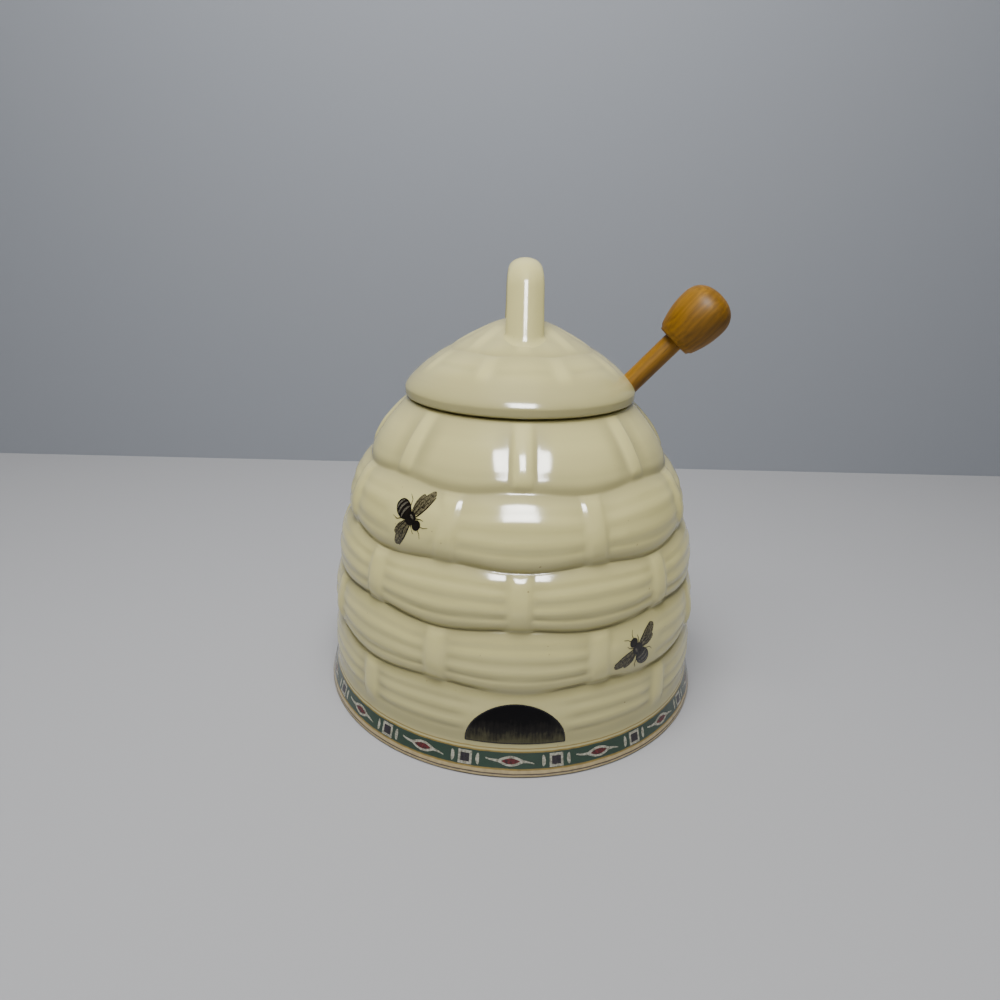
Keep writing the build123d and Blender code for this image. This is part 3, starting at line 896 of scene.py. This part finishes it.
def rod_rings():
    low = HEAD_MIDDLE - HEAD_LENGTH / 2 + HEAD_NOSE
    top = ROD_OUT + ROD_SEAT - GLUE
    r, ease = ROD_RADIUS, 0.5
    ends = [(0, low), (r - ease, low), (r, low + ease)]
    middle = [(r, low + ease + (top - low - 2 * ease) * i / 30) for i in range(1, 30)]
    return plain(ends + middle + [(r, top - ease), (r - ease, top), (0, top)])


def knob_rings():
    bore, bottom = ROD_RADIUS + GLUE, ROD_OUT + ROD_SEAT
    rings = [(0, bottom), (bore, bottom), (bore, ROD_OUT + 4.0), (bore, ROD_OUT + 0.25)]
    rings += [(bore + 0.25, ROD_OUT), (KNOB_NECK - 1.2, ROD_OUT)]
    rings += arc((KNOB_NECK - 0.7, ROD_OUT + 0.7), 0.7, -90, 0, 5)
    start = 0.9
    for i in range(1, 27):
        t = start + (KNOB_WIDEST - start) * i / 26
        rings.append((knob_radius(t), ROD_OUT + t))
    for i in range(1, 25):
        t = KNOB_WIDEST + (KNOB_LENGTH - KNOB_WIDEST) * sin(pi / 2 * i / 25)
        rings.append((knob_radius(t), ROD_OUT + t))
    return plain(rings + [(0, ROD_OUT + KNOB_LENGTH)])


def head_rings():
    low = HEAD_MIDDLE - HEAD_LENGTH / 2
    sag = HEAD_RADIUS - HEAD_END
    ball = ((HEAD_LENGTH / 2) ** 2 + sag ** 2) / (2 * sag)

    def barrel(t):
        return HEAD_RADIUS - ball + sqrt(ball ** 2 - (t - HEAD_LENGTH / 2) ** 2)
    rings = [(0, low), (HEAD_END - 1.2, low)]
    pitch = HEAD_LENGTH / HEAD_DISCS
    for disc in range(HEAD_DISCS):
        start = disc * pitch + (DISC_GAP / 2 if disc else 0)
        end = (disc + 1) * pitch - (DISC_GAP / 2 if disc < HEAD_DISCS - 1 else 0)
        ease = 0.6
        if disc:
            rings += [(CORE_RADIUS + 0.4, low + start - 0.1), (CORE_RADIUS + 0.7, low + start)]
        rings += [(barrel(start) - ease, low + start), (barrel(start) - 0.15, low + start + 0.25)]
        half = (start + end) / 2
        rings += [(barrel(start + ease), low + start + ease), (barrel(half), low + half)]
        rings += [(barrel(end - ease), low + end - ease), (barrel(end) - 0.15, low + end - 0.25)]
        rings += [(barrel(end) - ease, low + end)]
        if disc < HEAD_DISCS - 1:
            rings += [(CORE_RADIUS + 0.7, low + end), (CORE_RADIUS + 0.2, low + end + 0.2)]
            rings += [(CORE_RADIUS, low + end + DISC_GAP / 2)]
    bore, bottom, top = ROD_RADIUS + GLUE, low + HEAD_NOSE - GLUE, low + HEAD_LENGTH
    rings += [(bore + 0.2, top), (bore, top - 0.3), (bore, bottom), (0, bottom)]
    return plain(rings)


rod = wooden("dipper_rod_beech", "dipper_rod", rod_rings(), 64)
knob = wooden("dipper_knob_beech", "dipper_knob", knob_rings())
head = wooden("dipper_head_beech", "dipper_head", head_rings())

# %% [markdown]
# ## Beech
#
# Beech is a pale, even wood, oiled here to a honey brown. What the eye reads is long fine streaks along the
# grain, slow bands of darker and lighter growth, and the short dark flecks that turning brings out. The
# pattern's coordinates are turned so that Z is the dipper's own axis, and then squeezed along it to draw
# the fibres out.

# %% Wood
BEECH_PALE = "#8f640a"
BEECH_DEEP = "#694706"
BEECH_FLECK = "#3d2805"


def oiled_beech():
    material, tree, surface = new_material("oiled_beech")
    coords = add(tree, "ShaderNodeTexCoord").outputs["Object"]
    upright = add(tree, "ShaderNodeMapping", {
        "Vector": coords, "Location": tuple(AXIS.to_translation()), "Rotation": tuple(AXIS.to_euler())},
        vector_type="TEXTURE").outputs[0]
    # growth rings 1.7 mm apart (2 pi / 20 / 190 m), seen as long ovals where the turning cuts across them
    bands = add(tree, "ShaderNodeMapping", {
        "Vector": upright, "Location": (0.011, 0.005, 0), "Rotation": (0.1, 0.06, 0),
        "Scale": (1, 1, 0.2)}).outputs[0]
    rings = add(tree, "ShaderNodeTexWave", {
        "Vector": bands, "Scale": 190.0, "Distortion": 7.0, "Detail": 2.0, "Detail Scale": 1.5},
        wave_type="RINGS", rings_direction="Z")
    fibres = add(tree, "ShaderNodeMapping", {"Vector": upright, "Scale": (1, 1, 0.06)}).outputs[0]
    streak = add(tree, "ShaderNodeTexNoise", {"Vector": fibres, "Scale": 1500.0, "Detail": 3.0}).outputs[0]
    fleck = add(tree, "ShaderNodeTexNoise", {"Vector": fibres, "Scale": 3400.0, "Detail": 1.0}).outputs[0]
    slow = add(tree, "ShaderNodeTexNoise", {"Vector": bands, "Scale": 160.0, "Detail": 1.0}).outputs[0]
    grown = add(tree, "ShaderNodeMath", {0: rings.outputs["Fac"], 1: 0.28, 2: slow}, operation="MULTIPLY_ADD")
    mixed = add(tree, "ShaderNodeMath", {0: streak, 1: 0.8, 2: grown.outputs[0]}, operation="MULTIPLY_ADD")
    tone = add(tree, "ShaderNodeMapRange", {"Value": mixed.outputs[0], 1: 0.7, 2: 1.35})
    body = add(tree, "ShaderNodeMix", {0: tone.outputs[0], 6: tint(BEECH_DEEP), 7: tint(BEECH_PALE)},
               data_type="RGBA")
    dark = add(tree, "ShaderNodeMapRange", {"Value": fleck, 1: 0.64, 2: 0.74, 3: 0.0, 4: 0.45})
    flecked = add(tree, "ShaderNodeMix", {0: dark.outputs[0], 6: body.outputs[2], 7: tint(BEECH_FLECK)},
                  data_type="RGBA")
    tree.links.new(flecked.outputs[2], surface.inputs["Base Color"])
    surface.inputs["Roughness"].default_value = 0.5
    surface.inputs["Specular IOR Level"].default_value = 0.3
    bump = add(tree, "ShaderNodeBump", {"Height": streak, "Strength": 0.2, "Distance": 0.0003})
    tree.links.new(bump.outputs[0], surface.inputs["Normal"])
    return material


BEECH = oiled_beech()
for piece in (rod, knob, head):
    piece.data.materials.clear()
    piece.data.materials.append(BEECH)

# %% [markdown]
# ## Printed decoration
#
# A potter's transfer is a thin film of ceramic colour, printed flat, slid wet onto the glaze and fired into
# it. It follows every swelling of the straw. So each motif here is drawn flat, in millimetres, and one
# geometry tree does what the wet film does: it bends the drawing round the pot, casts every point onto the
# real surface, and lifts it by the thickness of the film. The tree can also repeat a motif round the foot.

# %% The transfer tree
def transfer_tree():
    tree, size = new_tree("transfer", (
        ("Target", "Object"), ("Height", "Float"), ("Turn", "Float"), ("Reach", "Float"), ("Count", "Int"),
        ("Film", "Float"), ("Material", "Material")))

    def vector(operation, a, b=(0, 0, 0), scale=1.0):
        return add(tree, "ShaderNodeVectorMath", {0: a, 1: b, 3: scale}, operation=operation).outputs[0]

    # bend: a drawing's X runs round a circle well outside the pot, its Z stays upright
    flat = add(tree, "ShaderNodeSeparateXYZ", {0: add(tree, "GeometryNodeInputPosition").outputs[0]}).outputs
    angle = Number(tree, flat["X"]) / (size["Reach"] * MM)
    far = 0.08
    bent = add(tree, "ShaderNodeCombineXYZ", {
        0: calc(tree, "SINE", angle) * far, 1: calc(tree, "COSINE", angle) * -far,
        2: Number(tree, flat["Z"]) + size["Height"] * MM}).outputs[0]
    film = add(tree, "GeometryNodeSetPosition", {"Geometry": size["Geometry"], "Position": bent}).outputs[0]

    # repeat: one copy for each point, all on the axis, each turned on by its share of the circle
    copies = add(tree, "GeometryNodeMeshLine", {"Count": size["Count"], "Offset": (0, 0, 0)}).outputs[0]
    index = Number(tree, add(tree, "GeometryNodeInputIndex").outputs[0])
    share = index * (2 * pi) / size["Count"]
    spin = add(tree, "ShaderNodeCombineXYZ", {2: share + calc(tree, "RADIANS", size["Turn"])}).outputs[0]
    around = add(tree, "GeometryNodeInstanceOnPoints", {
        "Points": copies, "Instance": film, "Rotation": spin}).outputs[0]
    real = add(tree, "GeometryNodeRealizeInstances", {"Geometry": around}).outputs[0]

    # lay: straight towards the axis until the glaze, then out again by the film
    spot = add(tree, "GeometryNodeInputPosition").outputs[0]
    outward = vector("NORMALIZE", vector("MULTIPLY", spot, (1, 1, 0)))
    ware = add(tree, "GeometryNodeObjectInfo", {"Object": size["Target"]}).outputs["Geometry"]
    inward = vector("SCALE", outward, scale=-1.0)
    cast = add(tree, "GeometryNodeRaycast", {
        "Target Geometry": ware, "Source Position": spot, "Ray Direction": inward, "Ray Length": far}).outputs
    lifted = vector("ADD", cast["Hit Position"], vector("SCALE", outward, scale=size["Film"] * MM))
    laid = add(tree, "GeometryNodeSetPosition", {
        "Geometry": real, "Selection": cast["Is Hit"], "Position": lifted}).outputs[0]
    coloured = add(tree, "GeometryNodeSetMaterial", {"Geometry": laid, "Material": size["Material"]})
    add(tree, "NodeGroupOutput", {"Geometry": coloured.outputs[0]})
    return tree


TRANSFER = transfer_tree()
print("transfer tree:", len(TRANSFER.nodes), "nodes")

# %% [markdown]
# ## Drawing with ribbons
#
# One function draws everything. A ribbon follows a line and has a width that changes along it. A leg is a
# thin ribbon, a wing is a short wide one, a disc is one whose width follows a circle. Ribbons are woven
# from small squares, 0.3 to 0.5 mm long, so that they can bend with the surface under them.

# %% Ribbons
def ribbon(start, end, half_width, bow=0.0, grid=0.3):
    """Points and faces of a ribbon from start to end. bow bends its middle line sideways, in mm."""
    (x0, z0), (x1, z1) = start, end
    length = sqrt((x1 - x0) ** 2 + (z1 - z0) ** 2)
    dx, dz = (x1 - x0) / length, (z1 - z0) / length
    long_steps = max(6, round(length / grid))
    widest = max(half_width(i / 20) for i in range(21))
    cross_steps = max(2, round(2 * widest / grid))
    points, faces = [], []
    for i in range(long_steps + 1):
        # steps crowd at both ends, where a rounded end turns quickly
        t = 0.5 - 0.5 * cos(pi * i / long_steps)
        side = 4 * bow * t * (1 - t)
        w = max(half_width(t), 0.01)
        for k in range(cross_steps + 1):
            off = side + w * (2 * k / cross_steps - 1)
            points.append((x0 + dx * length * t - dz * off, z0 + dz * length * t + dx * off))
    row = cross_steps + 1
    for i in range(long_steps):
        for k in range(cross_steps):
            a = i * row + k
            faces.append((a, a + row, a + row + 1, a + 1))
    return points, faces


def oval(wide):
    return lambda t: wide * sqrt(max(0.0, 4 * t * (1 - t)))


def even(wide):
    return lambda t: wide


def tapered(wide, tip=0.25):
    return lambda t: wide * (1 - (1 - tip) * t)


def mirrored(shapes):
    """The shapes together with their mirror images, whose faces are turned over again."""
    twins = [([(-x, z) for x, z in points], [face[::-1] for face in faces]) for points, faces in shapes]
    return shapes + twins


def drawing(name, shapes, heading=0.0):
    """One flat mesh of shapes, in the XZ plane and facing -Y, turned by heading in degrees."""
    turn = radians(heading)
    points, faces = [], []
    for shape_points, shape_faces in shapes:
        first = len(points)
        for x, z in shape_points:
            points.append(((x * cos(turn) - z * sin(turn)) * MM, 0, (x * sin(turn) + z * cos(turn)) * MM))
        faces += [tuple(first + i for i in face) for face in shape_faces]
    mesh = bpy.data.meshes.new(name)
    mesh.from_pydata(points, [], faces)
    return mesh


def transfer(name, shapes, material, height, turn=0.0, reach=57.0, count=1, film=0.05, heading=0.0):
    """A drawing printed, laid on the pot and fired there."""
    piece = place(name, drawing(name, shapes, heading))
    run_tree(piece, TRANSFER, {"Target": pot, "Height": height, "Turn": turn, "Reach": reach, "Count": count,
                               "Film": film, "Material": material})
    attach(piece, "pot")
    return piece


# %% [markdown]
# ## Ceramic colours
#
# On-glaze colours are ground glass with metal oxides: iron and manganese for black and brown, chrome for
# green, gold or iron for red. They melt into the glaze and take on its gloss. A transfer is printed in fine
# dots, so no patch of it is quite even. Every colour here is a mix of two tones, broken up at the size of
# those dots.

# %% Colours
def ceramic_colour(name, dark, pale, grain):
    """A printed colour between two tones, with grains of the given size in mm."""
    material, tree, surface = new_material(name)
    coords = add(tree, "ShaderNodeTexCoord").outputs["Object"]
    scale = 1000.0 / grain
    dots = add(tree, "ShaderNodeTexNoise", {"Vector": coords, "Scale": scale, "Detail": 2.0}).outputs[0]
    share = add(tree, "ShaderNodeMapRange", {"Value": dots, 1: 0.36, 2: 0.64})
    body = add(tree, "ShaderNodeMix", {0: share.outputs[0], 6: tint(dark), 7: tint(pale)}, data_type="RGBA")
    tree.links.new(body.outputs[2], surface.inputs["Base Color"])
    surface.inputs["Roughness"].default_value = 0.22
    return material


INK = ceramic_colour("manganese_black", "#040301", "#1c150c", 0.35)
INK_GREY = ceramic_colour("thin_black", "#3a362d", "#6a6558", 0.3)
WING = ceramic_colour("wing_brown", "#332e1e", "#6d664b", 0.45)
ENAMEL_WHITE = ceramic_colour("tin_white", "#7d7b6c", "#b5b1a0", 0.6)
ENAMEL_RED = ceramic_colour("iron_red", "#260609", "#661a1e", 0.6)
ENAMEL_VIOLET = ceramic_colour("manganese_violet", "#0f0a11", "#292029", 0.6)

# %% [markdown]
# ## The bees
#
# Two plain honeybees seen from above, the same print at two turns: round head, furry thorax, striped
# abdomen, two pairs of veined wings, thin legs and feelers. The wings are laid first and the body over
# them, each film a little thicker than the one below, so that no two films share a surface.

# %% Bees
# strokes in mm on one side of the bee, head up: x, z at the start, x, z at the end, half width, tip, bow
BEE_VEINS = (
    (0.8, 0.9, 7.9, 2.0, 0.2, 0.5, 0.45), (1.2, 0.3, 7.8, 0.9, 0.12, 0.25, 0.0),
    (2.6, 0.5, 6.4, -0.2, 0.1, 0.25, -0.2), (3.9, 0.75, 7.2, 1.7, 0.08, 0.25, 0.0),
    (0.9, -0.2, 7.0, -0.35, 0.14, 0.25, -0.5), (1.6, -0.9, 5.2, -1.6, 0.1, 0.25, 0.0),
    (4.2, 0.6, 4.4, 2.0, 0.07, 0.25, 0.0), (5.6, 0.1, 5.9, 2.0, 0.07, 0.25, 0.0),
)
BEE_LIMBS = (
    (0.9, 1.2, 2.0, 2.7, 0.13, 0.6, 0.0), (2.0, 2.7, 2.2, 3.5, 0.08, 0.6, 0.0),
    (1.1, -1.4, 3.2, -3.0, 0.14, 0.6, 0.0), (3.2, -3.0, 3.5, -4.6, 0.1, 0.4, 0.0),
    (0.5, 3.5, 0.9, 4.7, 0.1, 0.8, 0.0), (0.9, 4.7, 1.9, 5.6, 0.08, 0.6, 0.0),
)


def strokes(rows):
    return [ribbon((x0, z0), (x1, z1), tapered(wide, tip), bow) for x0, z0, x1, z1, wide, tip, bow in rows]


def wing(start, end, wide):
    """A wing blade, narrow at its root and widest past the middle."""
    def half(t):
        return wide * (0.16 + 0.84 * sin(pi / 2 * min(1.0, t / 0.62))) * oval(1.0)(t) ** 0.8
    return ribbon(start, end, half)


def bee(name, height, turn, heading):
    spot = {"height": height, "turn": turn, "heading": heading - 90.0, "reach": hive_radius(height)}
    hind, fore = wing((0.7, -0.3), (6.3, -1.0), 1.15), wing((0.8, 0.4), (8.5, 1.0), 1.45)
    transfer(f"{name}_bee_hindwings", mirrored([hind]), WING, film=0.03, **spot)
    transfer(f"{name}_bee_forewings", mirrored([fore]), WING, film=0.05, **spot)
    transfer(f"{name}_bee_veins", mirrored(strokes(BEE_VEINS)), INK, film=0.07, **spot)
    body = [ribbon((0, 1.45), (0, 3.95), oval(1.4)), ribbon((0, -1.6), (0, 1.9), oval(1.75)),
            ribbon((0, -6.0), (0, -0.2), oval(2.2))]
    transfer(f"{name}_bee_body", mirrored(strokes(BEE_LIMBS)) + body, INK, film=0.09, **spot)
    stripes = [ribbon((-1.86, -2.2), (1.86, -2.2), oval(0.3), -0.5)]
    stripes += [ribbon((-1.95, -3.5), (1.95, -3.5), oval(0.3), -0.6)]
    stripes += [ribbon((-1.5, -4.8), (1.5, -4.8), oval(0.26), -0.45)]
    stripes += [ribbon((-0.7, -0.5), (-0.6, 1.0), oval(0.3))]
    transfer(f"{name}_bee_stripes", stripes, INK_GREY, film=0.11, **spot)


for name, bee_place in BEES.items():
    bee(name, **bee_place)

# %% [markdown]
# ## The doorway
#
# The skep's door is printed too: a low half round, nearly black at its top and fading to olive at the sill,
# as a cave looks. Fine upright strokes, as an engraver makes them, carry the fading, and a thin dark line
# closes it.

# %% Doorway
DOOR_TOP = "#030204"
DOOR_MIDDLE = "#211e1b"
DOOR_LOW = "#55523c"


def door_print():
    material, tree, surface = new_material("engraved_doorway")
    coords = add(tree, "ShaderNodeTexCoord").outputs["Object"]
    height = add(tree, "ShaderNodeSeparateXYZ", {0: coords}).outputs["Z"]
    upright = add(tree, "ShaderNodeMapping", {"Vector": coords, "Scale": (1, 1, 0.12)}).outputs[0]
    strokes = add(tree, "ShaderNodeTexNoise", {"Vector": upright, "Scale": 1900.0, "Detail": 2.0}).outputs[0]
    blots = add(tree, "ShaderNodeTexNoise", {"Vector": coords, "Scale": 420.0, "Detail": 3.0}).outputs[0]
    share = add(tree, "ShaderNodeMapRange", {
        "Value": height, 1: DOOR_SILL * MM, 2: (DOOR_SILL + DOOR_RISE) * MM})
    rough = add(tree, "ShaderNodeMath", {0: strokes, 1: 0.5, 2: share.outputs[0]}, operation="MULTIPLY_ADD")
    rougher = add(tree, "ShaderNodeMath", {0: blots, 1: 0.5, 2: rough.outputs[0]}, operation="MULTIPLY_ADD")
    place_in = add(tree, "ShaderNodeMapRange", {"Value": rougher.outputs[0], 1: 0.5, 2: 1.28})
    ramp = add(tree, "ShaderNodeValToRGB", {0: place_in.outputs[0]})
    set_ramp(ramp, [(0.0, DOOR_LOW, 1.0), (0.42, DOOR_MIDDLE, 1.0), (0.78, DOOR_TOP, 1.0)])
    tree.links.new(ramp.outputs[0], surface.inputs["Base Color"])
    surface.inputs["Roughness"].default_value = 0.3
    surface.inputs["Specular IOR Level"].default_value = 0.12
    return material


def door_arch(share):
    return DOOR_RISE * sqrt(1 - (2 * share - 1) ** 2)


def door_field(grid=0.35):
    """The half round itself: columns from the sill up to the arch."""
    wide, tall = round(2 * DOOR_HALF / grid), round(DOOR_RISE / grid)
    points, faces = [], []
    for i in range(wide + 1):
        share = 0.5 - 0.4998 * cos(pi * i / wide)
        for k in range(tall + 1):
            points.append(((2 * share - 1) * DOOR_HALF, door_arch(share) * k / tall))
    for i in range(wide):
        for k in range(tall):
            a = i * (tall + 1) + k
            faces.append((a, a + tall + 1, a + tall + 2, a + 1))
    return points, faces


def door_line(half_width=0.16, steps=140):
    """A closed thin line round the half round."""
    outline = [(DOOR_HALF * cos(pi * i / steps), DOOR_RISE * sin(pi * i / steps)) for i in range(steps + 1)]
    outline += [(-DOOR_HALF + 2 * DOOR_HALF * i / 88, 0.0) for i in range(1, 88)]
    count = len(outline)
    points = []
    for i, (x, z) in enumerate(outline):
        (xa, za), (xb, zb) = outline[i - 1], outline[(i + 1) % count]
        run = sqrt((xb - xa) ** 2 + (zb - za) ** 2)
        nx, nz = (zb - za) / run * half_width, (xa - xb) / run * half_width
        points += [(x + nx, z + nz), (x - nx, z - nz)]
    faces = [(2 * i, 2 * ((i + 1) % count), 2 * ((i + 1) % count) + 1, 2 * i + 1) for i in range(count)]
    return points, faces


transfer("doorway_print", [door_field()], door_print(), DOOR_SILL, film=0.05)
transfer("doorway_line", [door_line()], INK, DOOR_SILL, film=0.07)

# %% [markdown]
# ## The border
#
# A green band runs round the foot, with a thin gold line on either side and a fainter one above. On it two
# motifs take turns, fifteen of each: a white lozenge with a red heart and two brush strokes, and a framed
# violet square between two short bars. The transfer tree repeats them. The band itself is already there, as
# part of the glaze.

# %% Border motifs
REPEATS = 15
BORDER_MIDDLE = 4.7
BORDER_REACH = 59.6
BORDER_TURN = -1.0

lozenge = [ribbon((-3.9, 0.05), (3.9, -0.05), lambda t: 1.4 * sin(pi * t) ** 0.9, grid=0.25),
           ribbon((-3.5, 0.1), (-6.8, 0.55), tapered(0.36, 0.5), 0.12),
           ribbon((3.5, -0.1), (6.4, -0.7), tapered(0.36, 0.3), 0.1)]
heart = [ribbon((-2.6, 0), (2.6, 0), lambda t: 0.8 * sin(pi * t) ** 0.9, grid=0.25)]
frame_square = [ribbon((-1.9, 0), (1.9, 0), even(1.85))]
square = [ribbon((-1.25, 0), (1.25, 0), even(1.15))]
bars = [ribbon((3.6, -1.55), (3.6, 1.55), oval(0.5), 0.15)]
bars += [ribbon((-3.6, 1.55), (-3.6, -1.55), oval(0.5), 0.15)]
ring = {"height": BORDER_MIDDLE, "reach": BORDER_REACH, "count": REPEATS}
transfer("border_lozenges", lozenge, ENAMEL_WHITE, turn=BORDER_TURN, film=0.04, **ring)
transfer("border_hearts", heart, ENAMEL_RED, turn=BORDER_TURN, film=0.07, **ring)
between = BORDER_TURN + 180 / REPEATS
transfer("border_frames", frame_square + bars, ENAMEL_WHITE, turn=between, film=0.04, **ring)
transfer("border_squares", square, ENAMEL_VIOLET, turn=between, film=0.07, **ring)

# %% [markdown]
# ## Floor, wall and light
#
# A potter shows a glazed piece on a plain pale table before a plain wall, so that nothing else is mirrored
# in it. Both are staging and no part of the object, so the frame is told to leave them out of its sizes and
# its export.
#
# Gloss and shade ask for different light. A small bright lamp makes the crisp highlights that show a
# surface to be glass, but it would also light the front too hard. So here one lamp is seen only in mirror
# images, while the lamp overhead and the soft light of the room shade the form and have no mirror image. No
# real lamp can do that. It is a studio trick of the renderer, and it keeps the two effects apart, so that
# each can be set by itself.

# %% Stage and lights
def card(name, width, depth, matrix, colour):
    mesh = bpy.data.meshes.new(name)
    w, d = width / 2, depth / 2
    mesh.from_pydata([(-w, -d, 0), (w, -d, 0), (w, d, 0), (-w, d, 0)], [], [(0, 1, 2, 3)])
    mesh.transform(matrix)
    material, _, surface = new_material(name)
    surface.inputs["Base Color"].default_value = tint(colour)
    surface.inputs["Roughness"].default_value = 0.7
    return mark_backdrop(place(name, mesh, material))


WALL_Y = 0.221
POT_MIDDLE = 0.06
card("table_top", 6, 6, Matrix.Translation((0, WALL_Y - 3, 0)), "#a6a6a8")
card("back_wall", 6, 4, Matrix.Translation((0, WALL_Y, 2)) @ Matrix.Rotation(pi / 2, 4, "X"), "#8d9198")


def lamp(name, spot, size, power):
    """A square lamp that looks at the middle of the pot, with its side in metres and its power in watts."""
    data = bpy.data.lights.new(name, "AREA")
    data.shape = "RECTANGLE"
    data.size, data.size_y = size, size
    data.energy = power
    light = bpy.data.objects.new(name, data)
    light.location = spot
    light.rotation_euler = (Vector((0, 0, POT_MIDDLE)) - Vector(spot)).to_track_quat("-Z", "Y").to_euler()
    bpy.context.scene.collection.objects.link(light)
    return light


# stands where the glaze mirrors it, 49 degrees up and almost straight ahead, and lights nothing
glint = lamp("glint_lamp", (0.03, -0.79, 0.97), 0.42, 28.0)
glint.visible_diffuse = False
# lights the pot from above its front, so that the courses shade towards the foot
ceiling = lamp("ceiling_lamp", (-0.05, -0.13, 0.55), 0.3, 3.9)
ceiling.visible_glossy = False
sky = bpy.data.lights.new("room_light", "SUN")
sky.energy, sky.angle = 0.8, radians(70)
room = bpy.data.objects.new("room_light", sky)
room.rotation_euler = (radians(20), 0, 0)
room.visible_glossy = False
bpy.context.scene.collection.objects.link(room)
world = bpy.data.worlds.new("room")
bpy.context.scene.world = world
world.use_nodes = True
world.node_tree.nodes["Background"].inputs[0].default_value = tint("#c2c4cb")
world.node_tree.nodes["Background"].inputs[1].default_value = 0.22
